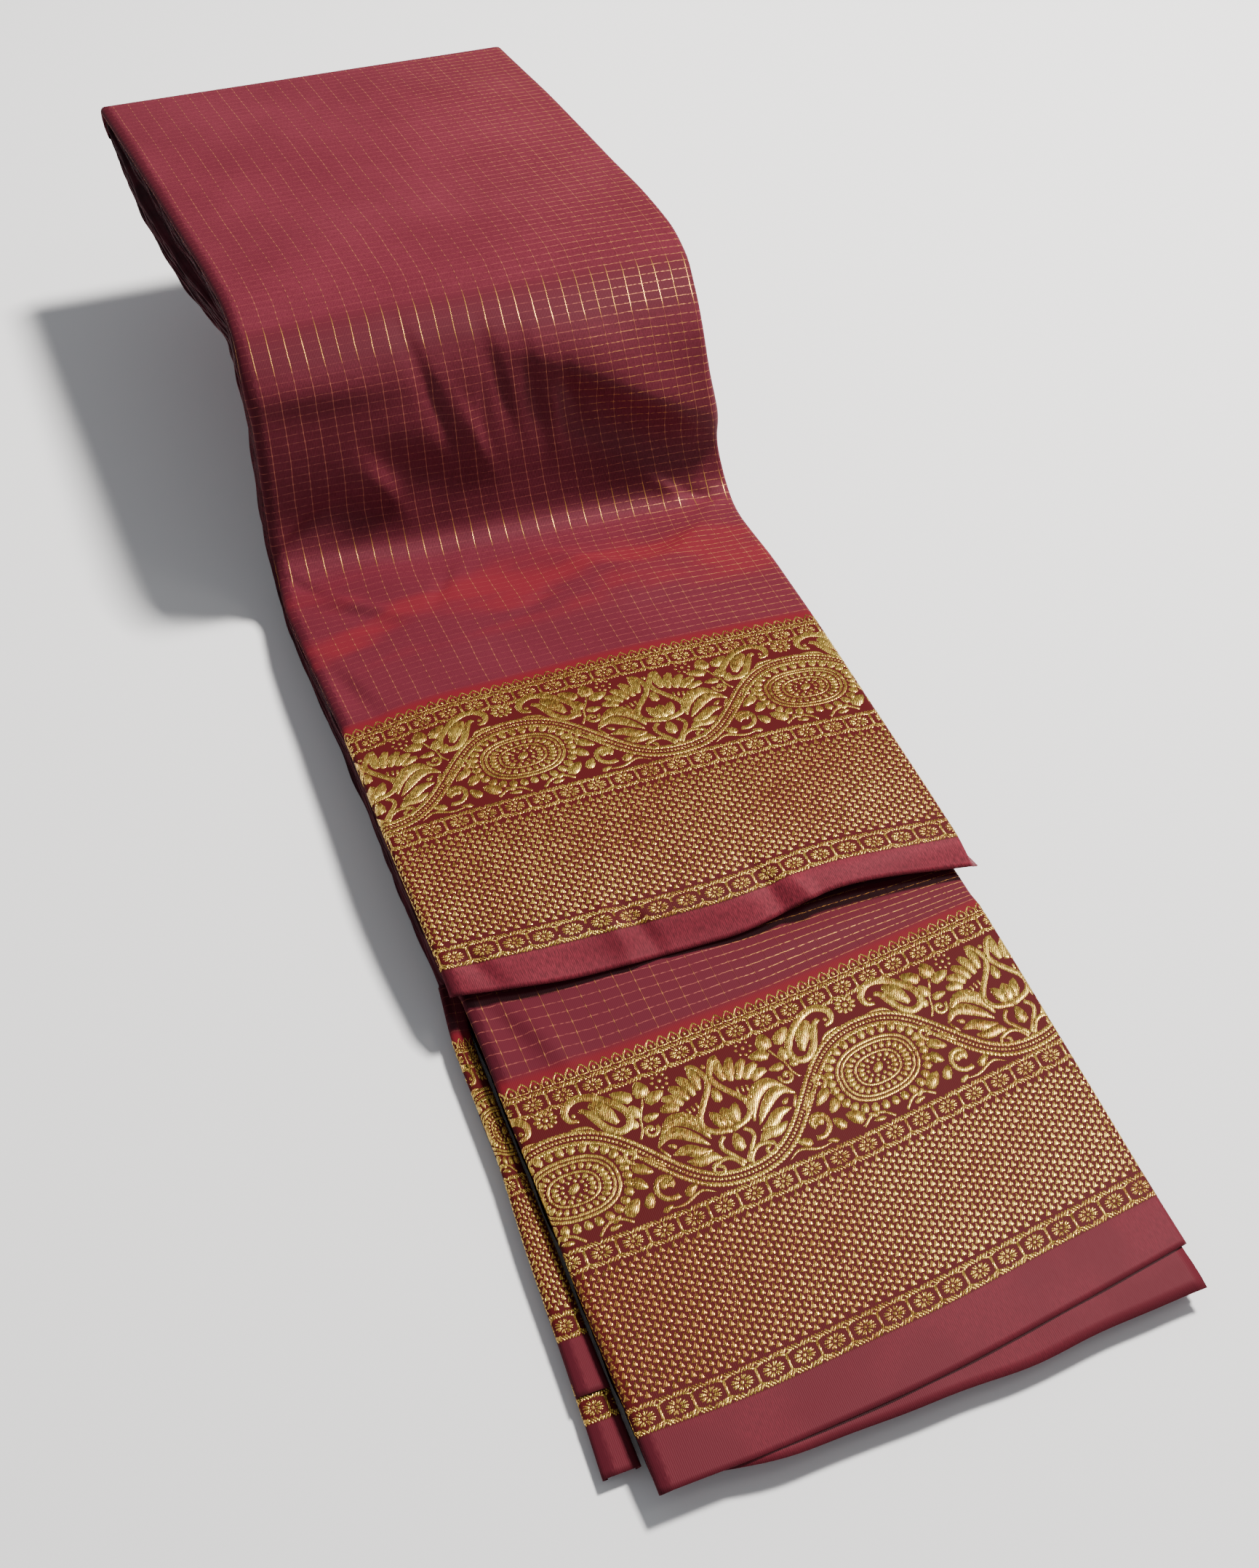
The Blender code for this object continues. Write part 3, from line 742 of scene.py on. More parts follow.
def makeLeaf(name, form, material, xs, vs, nodes):
    mesh = layFlat(name, flatGrid(xs, vs), form)
    return addWall(addPiece(name, mesh, material, nodes), clothWall)


def makeUpperLeaf():
    turned = -upperForm["tips"]
    start = turned - noseRadius * math.pi - upperSheet["farLap"]
    vs = np.concatenate([evenSteps(start, turned, upperSheet["farPitch"])[:-1],
                         evenSteps(turned, upperSheet["edge"], upperSheet["pitch"])])
    xs = acrossSteps(upperForm, upperSheet["pitch"])
    nodes = ("far_fold", "upper_raised", "upper_fall", "upper_low", "upper_border", "upper_selvedge")
    return makeLeaf("upperLeaf", upperForm, upperSilk, xs, vs, nodes)


def makeLowerLeaf():
    vs = evenSteps(lowerSheet["start"], lowerSheet["edge"], lowerSheet["pitch"])
    xs = acrossSteps(lowerForm, lowerSheet["pitch"])
    nodes = ("lower_body", "lower_border", "lower_selvedge")
    return makeLeaf("lowerLeaf", lowerForm, lowerSilk, xs, vs, nodes)


def makeLeftLeaf(name, form, first, last, nodes):
    xs = acrossSteps(form, 1.5, 0.5)
    return makeLeaf(name, form, lowerSilk, xs, evenSteps(first, last, 2.0), nodes)


upperLeaf = makeUpperLeaf()
lowerLeaf = makeLowerLeaf()
leftLeaf = makeLeftLeaf("leftLeaf", leftForm, -21.0, 129.0, ("left_border", "left_selvedge"))
leftNext = makeLeftLeaf("leftNext", leftNextForm, 75.7, 127.7, ("left_next_border", "left_next_selvedge"))
print("leaves laid")


# The woven gold border, drawn on the flat cloth in raised metal thread. A pen holds the mesh, the
# motif's middle and which way it faces, and every motif is drawn from its own middle.
def makePen(flat, x=0.0, v=0.0, side=1):
    return {"flat": flat, "x": x, "v": v, "side": side}


def penPlace(pen, x, v):
    return pen["x"] + pen["side"] * x, pen["v"] + v


def drawOnce(draw, *details):
    # A motif drawn about its own middle and kept, to be stamped wherever it repeats
    small = bmesh.new()
    draw(makePen(small), *details)
    return keepMesh("motif", small)


def stamp(flat, motif, x=0.0, v=0.0):
    first = len(flat.verts)
    flat.from_mesh(motif)
    flat.verts.ensure_lookup_table()
    for vert in flat.verts[first:]:
        vert.co.x += x
        vert.co.y += v


def drawPetal(pen, base, tip, width, sides=8, point=0.35):
    verts = bmesh.ops.create_circle(pen["flat"], cap_ends=True, segments=sides, radius=1)["verts"]
    baseX, baseV = penPlace(pen, *base)
    tipX, tipV = penPlace(pen, *tip)
    runX, runV = tipX - baseX, tipV - baseV
    length = math.hypot(runX, runV)
    for vert in verts:
        along = (1 + vert.co.y) / 2
        aside = vert.co.x * width / 2 * (1 - point * vert.co.y) / length
        vert.co = (baseX + runX * along - runV * aside, baseV + runV * along + runX * aside, 0)


def drawDot(pen, x, v, radius, sides=6):
    drawPetal(pen, (x, v - radius), (x, v + radius), 2 * radius, sides, 0.0)


def drawBand(pen, path, width, steps, taper=None):
    # A band along a path of t from 0 to 1, as wide as its taper says
    nudge = 0.004
    verts = bmesh.ops.create_grid(pen["flat"], x_segments=steps, y_segments=1, size=1)["verts"]
    for vert in verts:
        t = (vert.co.x + 1) / 2
        x, v = penPlace(pen, *path(t))
        x2, v2 = penPlace(pen, *path(t + nudge))
        x1, v1 = penPlace(pen, *path(t - nudge))
        run = math.hypot(x2 - x1, v2 - v1)
        half = vert.co.y * width / 2 * (taper(t) if taper else 1)
        vert.co = (x - (v2 - v1) / run * half, v + (x2 - x1) / run * half, 0)


def drawStroke(pen, start, end, width):
    run = (end[0] - start[0], end[1] - start[1])
    drawBand(pen, lambda t: (start[0] + run[0] * t, start[1] + run[1] * t), width, 1)


def smoothPath(points):
    # A curve through a few points, straight on past both ends
    first = [2 * a - b for a, b in zip(points[0], points[1])]
    last = [2 * a - b for a, b in zip(points[-1], points[-2])]
    row = [first] + list(points) + [last]

    def path(t):
        place = min(max(t, 0), 1) * (len(points) - 1)
        index = min(int(place), len(points) - 2)
        u = t * (len(points) - 1) - index
        result = []
        for axis in range(2):
            p0, p1, p2, p3 = (row[index + step][axis] for step in range(4))
            value = 2 * p1 + (p2 - p0) * u + (2 * p0 - 5 * p1 + 4 * p2 - p3) * u**2
            result.append((value + (3 * p1 - p0 - 3 * p2 + p3) * u**3) / 2)
        return result

    return path


def leafTaper(t):
    return max(math.sin(math.pi * min(max(t, 0), 1)) ** 0.7, 0.12)


def spiral(x, v, radius, turns, start, hand=1):
    # A scroll that winds in to its middle
    def path(t):
        angle = math.radians(start) + hand * 2 * math.pi * turns * t
        reach = radius * (1 - 0.75 * t)
        return x + reach * math.cos(angle), v + reach * math.sin(angle)

    return path


border = {
    "budPitch": 3.95,
    "chainRows": (7.4, 59.0, 108.4),
    "ropeRows": ((4.3, 10.6), (56.0, 62.2), (105.0, 111.7)),
    "ropePitch": 1.12,
    "ropeHeight": 1.5,
    "ropeLean": 0.75,
    "strokeWidth": 0.62,
    "latticeColumn": 2.05,
    "latticeRow": 2.4,
    "latticeFrom": 63.9,
    "latticeTo": 105.0,
    "vineMiddle": 37.2,
    "vineSwing": 15.4,
    "inset": 0.09,
    "rise": 0.10,
    "sunk": -0.03,
    "edgeCuts": 7,
    "largest": 9.0,
}


def drawBud(pen):
    for side in (-1, 1):
        half = ((side * 1.5, 3.2), (side * 1.7, 1.9), (side * 1.15, 0.75), (0, -0.5))
        drawBand(pen, smoothPath(half), 0.58, 6)
    drawPetal(pen, (0, 2.7), (0, 1.0), 1.1, 6, 0.1)
    drawStroke(pen, (-1.3, 3.1), (1.3, 3.1), 0.5)


def drawRope(pen, phase, pitch, first, last):
    # Slanting strokes that lean towards the nearest bar from both sides
    half = border["ropeHeight"] / 2
    for x in np.arange(first, last, border["ropePitch"]):
        lean = border["ropeLean"] if ((x - phase) / pitch) % 1 < 0.5 else -border["ropeLean"]
        drawStroke(pen, (x - lean, -half), (x + lean, half), border["strokeWidth"])


def drawCell(pen, pitch):
    # A bar with slanting roofs, and the rosette beside it
    drawStroke(pen, (0, -2.3), (0, 2.3), 0.9)
    for side in (-1, 1):
        for end in (-1, 1):
            drawStroke(pen, (0, end * 2.2), (side * 2.6, end * 3.2), 0.62)
    flower = makePen(pen["flat"], pitch / 2)
    for number in range(8):
        angle = math.radians(45 * number + 22.5)
        reach = (0.9 * math.cos(angle), 0.75 * math.sin(angle))
        for turn in (-0.17, 0.17):
            tip = (3.6 * math.cos(angle + turn), 2.35 * math.sin(angle + turn))
            drawPetal(flower, reach, tip, 0.72, 6, 0.0)
    drawDot(flower, 0, 0, 0.65)


def vineHeight(x):
    swing = math.cos(x)
    return border["vineMiddle"] - border["vineSwing"] * (1.25 * swing - 0.25 * swing**3)


def drawVine(pen, middle, period, first, last):
    # Two rope strands with a row of beads between them, waving over the mandala and under the lotus. Its
    # places are complex numbers, x + vj
    def path(x):
        return complex(x, vineHeight(2 * math.pi * (x - middle) / period))

    def strokeBetween(start, end, width):
        drawStroke(pen, (start.real, start.imag), (end.real, end.imag), width)

    beadPitch = 1.25
    nudge = 0.05
    x = first
    while x < last:
        here = path(x)
        run = path(x + nudge) - here
        forward = run / abs(run)
        side = forward * 1j
        for offset in (-1.75, 1.75):
            centre = here + side * offset
            strokeBetween(centre - forward * 0.85 - side * 0.28, centre + forward * 0.85 + side * 0.28, 1.25)
        strokeBetween(here - forward * 0.45, here + forward * 0.45, 1.0)
        x += beadPitch * nudge / abs(run)


def ovalPoint(angle, reachX, reachV, square=2.4):
    c, s = math.cos(angle), math.sin(angle)
    scale = (abs(c) ** square + abs(s) ** square) ** (-1 / square)
    return reachX * c * scale, reachV * s * scale


def drawOvalRing(pen, reachX, reachV, width, steps):
    drawBand(pen, lambda t: ovalPoint(2 * math.pi * t, reachX, reachV), width, steps)


def drawPetalRing(pen, count, inner, outer, width, sides, point, phase=0.0):
    for number in range(count):
        angle = 2 * math.pi * (number + phase) / count
        drawPetal(pen, ovalPoint(angle, *inner), ovalPoint(angle, *outer), width, sides, point)


def drawMandala(pen):
    pen = makePen(pen["flat"], 0, 37.7)
    drawPetalRing(pen, 30, (15.1, 10.5), (18.6, 13.9), 3.0, 7, -0.2, 0.5)
    drawOvalRing(pen, 14.2, 9.7, 1.15, 48)
    drawOvalRing(pen, 12.7, 8.4, 1.0, 44)
    drawPetalRing(pen, 28, (8.7, 5.7), (12.0, 7.8), 1.9, 6, -0.3)
    drawOvalRing(pen, 8.0, 5.1, 0.9, 32)
    drawPetalRing(pen, 16, (4.7, 2.9), (7.3, 4.6), 1.75, 6, -0.3)
    for number in range(10):
        drawDot(pen, *ovalPoint(2 * math.pi * number / 10, 3.7, 2.45), 0.7, 5)
    drawPetal(pen, (-1.9, 1.2), (1.9, -1.2), 2.9, 8, 0.0)


def drawPaisley(pen):
    # Its round end lies away from the middle, and its tip curls back in a scroll
    outline = ((-9.6, 17.6), (-6.9, 16.6), (-6.2, 13.6), (-8.6, 11.0), (-12.5, 10.3), (-17.2, 12.2),
               (-21.6, 15.8), (-24.6, 20.2), (-24.0, 24.2), (-20.0, 25.2), (-16.6, 22.6), (-14.4, 18.6),
               (-12.6, 15.4), (-10.6, 14.4))
    drawBand(pen, smoothPath(outline), 2.6, 44, lambda t: 0.45 + 0.55 * min(1, 6 * t, 6 * (1 - t) + 0.2))
    drawBand(pen, smoothPath(((-14.2, 13.4), (-16.4, 15.4), (-18.6, 18.4), (-20.6, 22.4))), 5.2, 10,
             lambda t: max(0.15, math.sin(math.pi * min(0.94, 0.12 + 0.75 * t)) ** 1.2))
    drawDot(pen, -8.6, 15.4, 0.8)
    drawBand(pen, smoothPath(((-5.6, 19.6), (-8.4, 19.8), (-11.4, 20.6), (-13.2, 22.2))), 1.1, 8, leafTaper)


def drawSprig(pen):
    # The leaves between a paisley and the lotus, from the lotus's middle
    leaves = (
        ((21.4, 17.6), (22.2, 11.4), 5.6),
        ((22.0, 19.2), (14.8, 17.6), 4.1),
        ((25.0, 16.8), (31.4, 12.4), 4.3),
        ((25.6, 23.2), (26.8, 18.2), 4.0),
        ((24.8, 24.4), (19.2, 24.2), 2.9),
        ((27.2, 26.2), (29.6, 21.8), 3.2),
    )
    for base, tip, width in leaves:
        drawPetal(pen, base, tip, width)
    drawBand(pen, smoothPath(((22.2, 17.6), (23.6, 20.6), (25.4, 23.6), (26.2, 27.4), (28.0, 30.0))), 0.8, 8)
    drawBand(pen, spiral(23.8, 28.2, 2.6, 1.1, 200, -1), 1.3, 16)
    drawDot(pen, 23.8, 28.2, 0.6)
    for number in range(8):
        angle = 2 * math.pi * number / 8
        drawDot(pen, 14.8 + 2.5 * math.cos(angle), 14.0 + 2.4 * math.sin(angle), 0.62)
    drawDot(pen, 14.8, 14.0, 0.75)


def drawLotusSide(pen):
    # Feather petals in a fan, seeds below them, curved leaves from the base, and the frame's own half
    tips = ((4.9, 13.8), (9.4, 15.2), (13.3, 17.4), (16.6, 20.2), (18.6, 23.4))
    bases = ((4.4, 22.0), (6.5, 23.0), (8.8, 23.6), (10.9, 24.3), (12.8, 25.3))
    for tip, base in zip(tips, bases):
        bend = ((base[0] + tip[0]) / 2 - 0.5, (base[1] + tip[1]) / 2 - 0.5)
        feather = smoothPath((base, bend, tip))
        drawBand(pen, feather, 3.5, 8, lambda t: max(0.2, math.sin(math.pi * (0.1 + 0.8 * t)) ** 0.7))
    for number in range(5):
        seedTop = (7.2 + 1.7 * number, 25.4 + 0.35 * number)
        drawStroke(pen, seedTop, (6.9 + 1.6 * number, 27.6 + 0.25 * number), 0.8)
    for number in range(3):
        drawStroke(pen, (8.4 + 1.9 * number, 29.0), (8.0 + 1.7 * number, 31.0 - 0.3 * number), 0.9)
    leaves = (
        (((7.6, 38.2), (9.0, 33.4), (12.6, 29.2), (17.2, 28.0), (21.6, 31.2)), 4.7),
        (((8.6, 39.8), (12.4, 35.6), (16.8, 32.2), (20.4, 31.8), (24.0, 34.6)), 4.1),
        (((8.4, 41.6), (12.2, 41.0), (16.0, 38.6), (20.6, 38.4)), 4.0),
        (((6.6, 45.2), (9.8, 43.4), (13.6, 43.6), (17.4, 42.0)), 3.9),
    )
    for points, width in leaves:
        drawBand(pen, smoothPath(points), width, 12, leafTaper)
    drawPetal(pen, (18.4, 36.6), (21.0, 34.8), 1.7, 7)
    drawStroke(pen, (21.6, 38.6), (23.6, 35.0), 0.9)
    drawBand(pen, smoothPath(((1.2, 50.0), (3.4, 46.8), (6.6, 45.6), (10.6, 46.8))), 1.5, 10)
    drawBand(pen, spiral(8.6, 48.2, 2.4, 1.0, 300), 1.2, 14)
    frameSide = ((5.6, 13.6), (3.4, 13.9), (1.9, 16.2), (0.6, 19.2), (1.8, 22.6), (4.6, 26.2), (7.6, 30.0),
                 (8.3, 33.4), (5.8, 36.4), (0.0, 37.9))
    drawBand(pen, smoothPath(frameSide), 2.1, 30)
    drawBand(pen, smoothPath(((3.4, 38.8), (5.2, 40.4), (5.4, 42.6), (3.2, 45.6), (0.2, 49.4))), 1.5, 12)


def drawLotus(pen):
    drawPetal(pen, (0, 28.2), (0, 22.6), 3.4)
    drawPetal(pen, (0, 37.0), (0, 29.8), 5.4)
    for side in (-1, 1):
        drawPetal(pen, (side * 1.2, 36.4), (side * 4.6, 29.8), 4.2)
        turned = makePen(pen["flat"], pen["x"], pen["v"], side)
        drawLotusSide(turned)
        drawSprig(turned)
    drawPetal(pen, (0, 45.6), (0, 38.9), 4.2)
    drawDot(pen, 0, 50.6, 0.8)
    drawDot(pen, 0, 15.0, 0.9)


def drawUnderVine(pen):
    # Scroll with a three-lobed flower, leaves and curls beside and below the mandala
    drawBand(pen, spiral(27.0, 46.4, 4.9, 0.95, 60), 1.8, 22)
    for angle in (-130, -90, -50):
        turn = math.radians(angle)
        tip = (27.0 + 3.4 * math.cos(turn), 47.4 + 3.6 * math.sin(turn))
        drawPetal(pen, (27.0 + 0.4 * math.cos(turn), 47.2), tip, 2.7)
    leaves = (
        ((18.6, 37.0), (24.8, 41.2), 3.6),
        ((17.2, 41.2), (21.4, 45.2), 3.8),
        ((11.8, 51.4), (17.4, 47.2), 4.5),
        ((18.8, 51.4), (21.8, 46.8), 3.5),
    )
    for base, tip, width in leaves:
        drawPetal(pen, base, tip, width)
    drawPetal(pen, (7.2, 52.0), (10.6, 50.2), 1.8, 6)
    drawBand(pen, spiral(20.4, 33.8, 2.6, 1.1, 90), 1.5, 16)
    drawBand(pen, smoothPath(((22.4, 35.6), (25.6, 37.8), (28.8, 41.0))), 2.2, 8, leafTaper)
    drawBand(pen, smoothPath(((2.2, 54.4), (5.6, 51.6), (9.6, 51.2), (13.4, 53.6))), 1.0, 10)
    drawPetal(pen, (5.4, 53.6), (9.8, 53.0), 1.7)
    drawBand(pen, smoothPath(((24.6, 53.6), (30.0, 54.0), (36.0, 52.0), (40.4, 54.2))), 1.1, 10, leafTaper)
    drawPetal(pen, (31.0, 51.8), (35.8, 49.2), 3.0)
    drawPetal(pen, (22.6, 54.0), (26.6, 52.8), 1.9, 6)


def drawOverMandala(pen):
    for number in range(10):
        angle = 2 * math.pi * number / 10
        drawPetal(pen, (1.3 * math.cos(angle), 13.6 + 1.2 * math.sin(angle)),
                  (4.1 * math.cos(angle), 13.6 + 3.3 * math.sin(angle)), 1.5, 6, -0.2)
    drawDot(pen, 0, 13.6, 1.0)
    for side in (-1, 1):
        turned = makePen(pen["flat"], pen["x"], pen["v"], side)
        drawPaisley(turned)
        drawUnderVine(turned)


def drawLatticeColumns(pen):
    # Two columns of small triangles, half a row apart
    first, last = border["latticeFrom"], border["latticeTo"]
    for column in range(2):
        x = column * border["latticeColumn"]
        for row in range(int((last - first) / border["latticeRow"]) - column):
            v = first + (row + 0.5 * column) * border["latticeRow"]
            drawPetal(pen, (x - 0.1, v + 1.83), (x + 0.2, v - 1.05), 2.5, 3, 0.0)


def repeatsOf(first, last, pitch, phase=0.0):
    # Where a motif repeats along a stretch of the border
    start = phase + math.floor((first - phase) / pitch) * pitch
    return np.arange(start, last + pitch, pitch)


def weaveBorder(flat, look):
    first, last = look["across"]
    cell = look["cell"]
    bud = drawOnce(drawBud)
    for x in repeatsOf(first, last, border["budPitch"], look["chains"][0]):
        stamp(flat, bud, x)
    for phase, rows in zip(look["chains"], border["ropeRows"]):
        rope = drawOnce(drawRope, phase, cell, first, last)
        for v in rows:
            stamp(flat, rope, 0, v)
    chainCell = drawOnce(drawCell, cell)
    for phase, v in zip(look["chains"], border["chainRows"]):
        for x in repeatsOf(first, last, cell, phase):
            stamp(flat, chainCell, x, v)
    period = look["period"]
    for draw, reach, phase in ((drawMandala, 20, 0), (drawOverMandala, 42, 0), (drawLotus, 34, period / 2)):
        motif = drawOnce(draw)
        for x in repeatsOf(first, last, period, look["mandala"] + phase):
            if first - reach < x < last + reach:
                stamp(flat, motif, x)
    stamp(flat, drawOnce(drawVine, look["mandala"], period, first, last))
    columns = drawOnce(drawLatticeColumns)
    for x in repeatsOf(first, last, 2 * border["latticeColumn"]):
        stamp(flat, columns, x)


def cutFlat(flat, place, normal, clear=False):
    # Only the faces near the cut are handed over
    axis = 0 if normal[0] else 1
    near = [face for face in flat.faces
            if clear or abs(face.calc_center_median()[axis] - place[axis]) < border["largest"]]
    geometry = set(near)
    for face in near:
        geometry.update(face.verts)
        geometry.update(face.edges)
    bmesh.ops.bisect_plane(flat, geom=list(geometry), plane_co=place, plane_no=normal, clear_inner=clear)


def makeBorder(name, form, look, material):
    flat = bmesh.new()
    weaveBorder(flat, look)
    flat.normal_update()
    bmesh.ops.reverse_faces(flat, faces=[face for face in flat.faces if face.normal.z < 0])
    flat.normal_update()
    bmesh.ops.inset_region(flat, faces=flat.faces[:], thickness=border["inset"], depth=border["rise"],
                           use_boundary=True, use_even_offset=True)
    left, right = look["across"]
    cutFlat(flat, (left, 0, 0), (1, 0, 0), clear=True)
    cutFlat(flat, (right, 0, 0), (-1, 0, 0), clear=True)
    if "firstV" in look:
        cutFlat(flat, (0, look["firstV"], 0), (0, 1, 0), clear=True)
    edge = form["edgeRadius"] * math.pi / 2
    for step in range(border["edgeCuts"]):
        for x in (edge - step * edge / 3, form["width"] - edge + step * edge / 3):
            if left < x < right:
                cutFlat(flat, (x, 0, 0), (1, 0, 0))
    mesh = layFlat(name, flat, form, border["sunk"])
    return addPiece(name, mesh, material)


# Where the chains of cells and the mandalas fall across each leaf, and how far apart they are
upperLook = {"cell": 9.6, "chains": (13.8, 11.5, 11.2), "mandala": 55.2, "period": 104.5,
             "across": (-4.5, 184.5)}
lowerLook = {"cell": 10.0, "chains": (4.2, 6.8, 9.8), "mandala": 11.0, "period": 106.0,
             "across": (-4.0, 184.0)}
leftLook = dict(lowerLook, across=(-2.0, 13.5))
upperGold = makeBorder("upperGold", upperForm, upperLook, upperZari)
lowerGold = makeBorder("lowerGold", lowerForm, lowerLook, lowerZari)
leftGold = makeBorder("leftGold", leftForm, leftLook, upperZari)
leftNextGold = makeBorder("leftNextGold", leftNextForm, dict(leftLook, firstV=100), upperZari)
print("gold borders woven")

# The piles of hidden layers: ridged at both sides where the layers turn, flat beneath
pile = {
    "layers": {"lower": 9, "upper": 10},
    "roundSteps": 4,
    "topPoints": 31,
    "topInset": 0.6,
    "topDrop": 1.0,
    "topKeep": 3.4,
    "underInset": 2.6,
    "sideInset": 0.5,
    "groove": 1.5,
    "wander": 0.8,
    "station": 2.6,
    "groupShare": 0.5,
    "spread": {"lower": 5.5, "upper": 1.4},
    "spreadLength": 165.0,
    "noseTurns": (84, 66, 48, 30, 14),
    "weld": 0.00002,
    "seed": 7,
}
leftPile = dict(pile, layers={"lower": 4}, topPoints=4, topDrop=0.1, topKeep=2.2, underInset=1.4,
                sideInset=0.35, groove=0.8, wander=0.3, seed=19)


def layerCuts(count, generator):
    weights = np.array([generator.uniform(0.6, 1.5) for each in range(count)])
    return np.concatenate([[0.0], np.cumsum(weights) / weights.sum()])


def sideProfile(settings, generator):
    # From the under face up: group, share of the group's depth, layer, and how far out the fold comes
    points = []
    for group, count in settings["layers"].items():
        cuts = layerCuts(count, generator)
        for layer in range(count):
            for step in range(settings["roundSteps"]):
                share = step / settings["roundSteps"]
                depth = cuts[layer] + (cuts[layer + 1] - cuts[layer]) * share
                points.append((group, depth, layer, math.sin(math.pi * share) ** 0.6))
        points.append((group, 1.0, count - 1, 0.0))
    return points


def wanderOf(seed, layer, s):
    generator = random.Random(seed * 100 + layer)
    total = 0.0
    for wave in (140, 61, 27):
        total += generator.uniform(0.3, 1.0) * math.sin(2 * math.pi * (s / wave + generator.random()))
    return total / 2


def pileColumn(settings, profile, side, row, s, thickness, first, split, spread):
    # One side's points, from the under face up, as (across, depth). first and split: how deep the upper
    # group starts and ends
    edge = row[4] if side < 0 else row[5]
    column = [(edge - side * settings["underInset"], thickness)]
    for group, share, layer, bulge in profile:
        low, high = (thickness, split) if group == "lower" else (split, first)
        depth = low + (high - low) * share
        # Each layer of each group and side wanders in its own way
        number = layer + (40 if group == "upper" else 0) + (200 if side > 0 else 0)
        reach = settings["sideInset"] + settings["groove"] * (1 - bulge)
        reach += settings["wander"] * (1 + wanderOf(settings["seed"], number, s))
        # Just under the top sheet the pile keeps inside the sheet's own rounded edge
        reach = max(reach, settings["topKeep"] - 0.9 * max(depth - first, 0))
        if side < 0:
            reach -= spread * settings["spread"][group] * min(1, 0.3 * (depth - first))
        column.append((edge - side * reach, depth))
    return column


def pileRing(settings, profiles, form, s, noseTurn, grouped, drop):
    row = readCurve(form["rows"], np.array([s]))[0]
    slope = float(slopeOf(form, np.array([s]))[0])
    down = np.array([row[2] - row[0], row[3] - row[1]])
    thickness = float(np.hypot(*down))
    down = down / thickness
    out = np.array([-math.sin(slope), math.cos(slope)])
    lean = max(-float(down @ out), 0.5)
    first = (settings["topInset"] + drop) / lean
    split = first + (thickness - first) * settings["groupShare"] if grouped else first
    spread = math.sin(math.pi * min(s / settings["spreadLength"], 1)) if grouped else 0
    left, right = (pileColumn(settings, profiles[side], side, row, s, thickness, first, split, spread)
                   for side in (-1, 1))
    topDepth = first + settings["topDrop"] / lean
    topShares = np.linspace(0.03, 0.97, settings["topPoints"])
    top = [(row[4] + (row[5] - row[4]) * share, topDepth) for share in topShares]
    middle = ((row[4] + row[5]) / 2, thickness)
    outline = np.array([middle] + left + top + right[::-1] + [middle])
    across, depth = outline.T
    fade = np.clip(1.5 * (1 - depth / thickness), 0, 1)
    rise = readFolds(form, across, np.full(len(across), s)) * fade
    along = row[0] + down[0] * depth + out[0] * rise
    along = along + row[6] * ((across - row[4]) / (row[5] - row[4]) - 0.5)
    height = row[1] + down[1] * depth + out[1] * rise
    if noseTurn:
        angle = math.radians(noseTurn)
        middleHeight = row[1] - noseRadius
        height = middleHeight + (height - middleHeight) * math.cos(angle)
        along = along - (noseRadius - settings["topInset"]) * math.sin(angle)
    return toWorld(across, along, height)


def makePile(name, settings, stations, nodes):
    # stations: form, place along it, turn round the far nose, whether both groups lie there, drop
    generator = random.Random(settings["seed"])
    profiles = {side: sideProfile(settings, generator) for side in (-1, 1)}
    rings = [pileRing(settings, profiles, *station) for station in stations]
    built = placedGrid(len(rings[0]), len(rings), lambda column, number: rings[number][column])
    bmesh.ops.remove_doubles(built, verts=built.verts, dist=settings["weld"])
    bmesh.ops.holes_fill(built, edges=[edge for edge in built.edges if edge.is_boundary])
    bmesh.ops.recalc_face_normals(built, faces=built.faces)
    return addPiece(name, keepMesh(name, built), layerMaterial, nodes)


def makeStripPile():
    # It starts round the far nose, and ends short of each leaf's last row
    spans = ((upperForm, True, 0.3, 18.0), (lowerForm, False, 0.0, 15.0))
    stations = [(upperForm, 0.0, turn, True, 0.0) for turn in pile["noseTurns"]]
    for form, grouped, first, short in spans:
        steps = evenSteps(first, form["last"] - short, pile["station"])
        stations += [(form, s, 0, grouped, 0.0) for s in steps]
    return makePile("layerPile", pile, stations, ("hidden_layers",))


def makeSlicePile():
    # A layer lower past the slice's own free edge
    edge = leftForm["places"]["freeEdge"]
    stations = []
    for first, last, drop in ((0.5, edge - 22.0, 0.0), (edge - 21.0, leftForm["last"] - 3.0, 1.6)):
        stations += [(leftForm, s, 0, False, drop) for s in evenSteps(first, last, pile["station"])]
    return makePile("slicePile", leftPile, stations, ("left_layers",))


makeStripPile()
makeSlicePile()
print("layers piled")

# The layers' free ends, one behind another
endWall = 0.45
endSides = (3.3, 176.7)
upperEnds = {"count": 3, "drop": 0.8, "start": -21.6, "seed": 11}
lowerEnds = {"drop": 1.7, "firstStart": -24.0, "start": -14.6, "seed": 12}


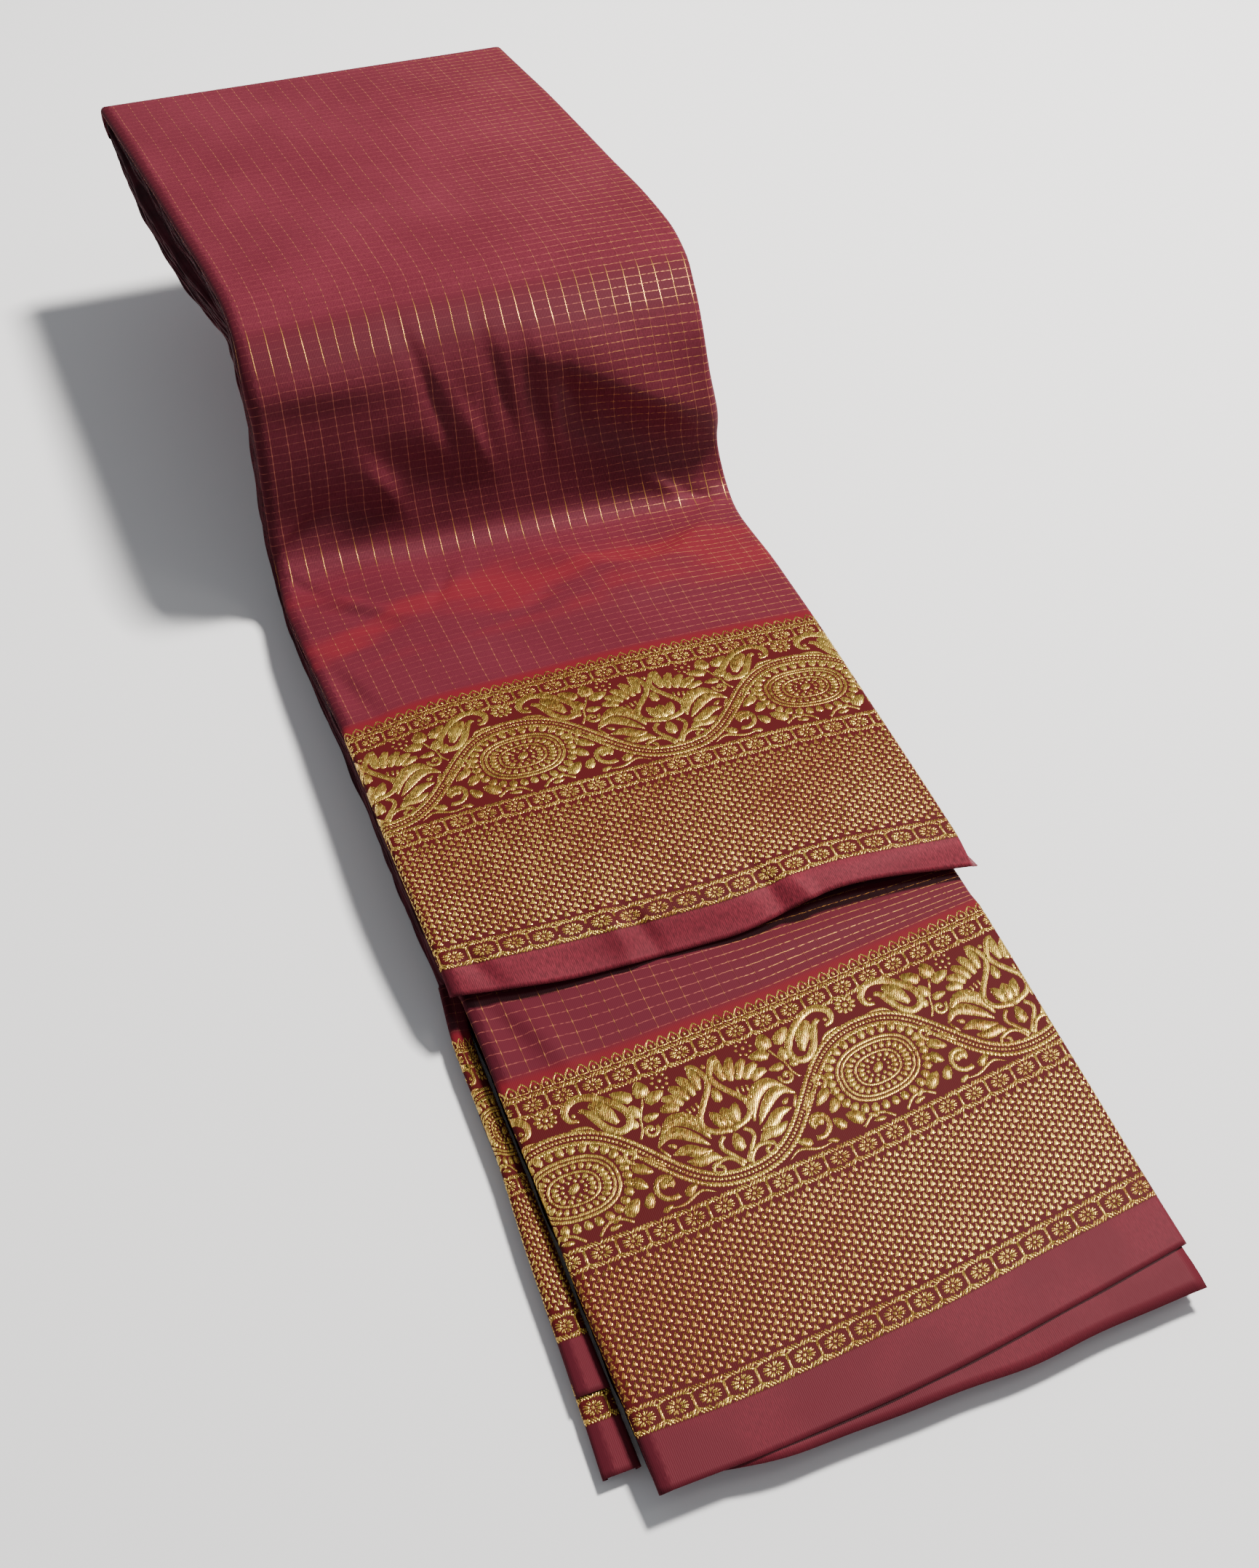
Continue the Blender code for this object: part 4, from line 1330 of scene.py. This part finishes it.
def endSheet(name, form, material, start, reach, lift, seed, nodes=()):
    # start, reach: where the sheet starts and where its free edge lies, past the form's last row. reach has
    # five places across
    generator = random.Random(seed)
    edgeCurve = makeCurve(strayPlaces, np.array(reach, float)[:, None])
    flat = flatGrid(evenSteps(*endSides, 3.5), np.linspace(0, 1, 9))
    ranges = ((0.2, 0.5), (40, 90), (0, 1))
    waves = [[generator.uniform(*limits) for limits in ranges] for each in range(3)]
    last = form["last"] - form["tips"]
    for vert in flat.verts:
        x, share = vert.co.x, vert.co.y
        edge = readCurve(edgeCurve, np.array([x]))[0, 0]
        ripple = 0
        for size, wave, phase in waves:
            edge += size * math.sin(2 * math.pi * (x / wave + phase))
            ripple += size * math.sin(2 * math.pi * (x / (wave * 0.6) + 2 * phase))
        vert.co = (x, last + start + (edge - start) * share, 0.35 * ripple * share)
    mesh = layFlat(name, flat, form, lift)
    return addWall(addPiece(name, mesh, material, nodes), endWall)


def makeUpperEnds():
    # Each sheet ends a little further back than the one above it
    sheets = []
    generator = random.Random(upperEnds["seed"])
    for number in range(upperEnds["count"]):
        lift = -1.0 - upperEnds["drop"] * number
        back = [-2.5 - 2.5 * number + generator.uniform(-1.0, 1.0) for place in strayPlaces]
        back[3] -= 3
        sheets.append(endSheet(f"upperEnd{number + 1}", upperForm, upperSilk, upperEnds["start"], back, lift,
                               upperEnds["seed"] + number))
    return sheets


def makeLowerEnds():
    # They fan out towards the near right corner
    reaches = (
        (-8.5, -4.0, -0.5, 3.0, 7.5),
        (-9.5, -5.5, -1.8, 1.5, 5.0),
        (-10.0, -6.2, -2.6, 0.8, 4.2),
        (-10.5, -6.8, -3.2, 0.0, 3.4),
        (-11.0, -7.4, -3.8, -0.8, 2.6),
    )
    sheets = []
    for number, reach in enumerate(reaches):
        nodes = () if number else ("lower_next_selvedge",)
        start = lowerEnds["start" if number else "firstStart"]
        sheets.append(endSheet(f"lowerEnd{number + 1}", lowerForm, lowerSilk, start, reach,
                               -0.9 - lowerEnds["drop"] * number, lowerEnds["seed"] + number, nodes))
    return sheets


upperEndSheets = makeUpperEnds()
lowerEndSheets = makeLowerEnds()
print("free ends laid")


# Floor and light
def makeStage():
    built = bmesh.new()
    bmesh.ops.create_grid(built, x_segments=1, y_segments=1, size=3)
    floor = newObject("paleFloor", keepMesh("paleFloor", built))
    floor.location.z = -0.0002
    material, shader = newMaterial("paleFloor")
    shader.inputs["Base Color"].default_value = (0.86, 0.86, 0.86, 1)
    shader.inputs["Roughness"].default_value = 0.9
    floor.data.materials.append(material)


lights = {
    "key": {"toward": (0.46, 0.22, 0.86), "away": 1.6, "size": 0.22, "power": 66, "tint": (1.0, 0.97, 0.94),
            "gloss": False},
    "glint": {"toward": (0.50, -0.19, 0.845), "away": 1.6, "size": 0.30, "power": 48,
              "tint": (1.0, 0.97, 0.92), "diffuse": False},
}


def makeLights():
    for name, light in lights.items():
        lamp = bpy.data.lights.new(name, "AREA")
        lamp.energy = light["power"]
        lamp.size = light["size"]
        lamp.color = light["tint"]
        toward = Vector(light["toward"]).normalized()
        placed = newObject(name, lamp)
        placed.visible_diffuse = light.get("diffuse", True)
        placed.visible_glossy = light.get("gloss", True)
        placed.location = toward * light["away"]
        placed.rotation_euler = toward.to_track_quat("Z", "Y").to_euler()
    world = bpy.context.scene.world or bpy.data.worlds.new("paleRoom")
    bpy.context.scene.world = world
    world.use_nodes = True
    background = world.node_tree.nodes["Background"]
    background.inputs["Color"].default_value = (0.92, 0.95, 1.0, 1)
    background.inputs["Strength"].default_value = 0.33


makeStage()
makeLights()
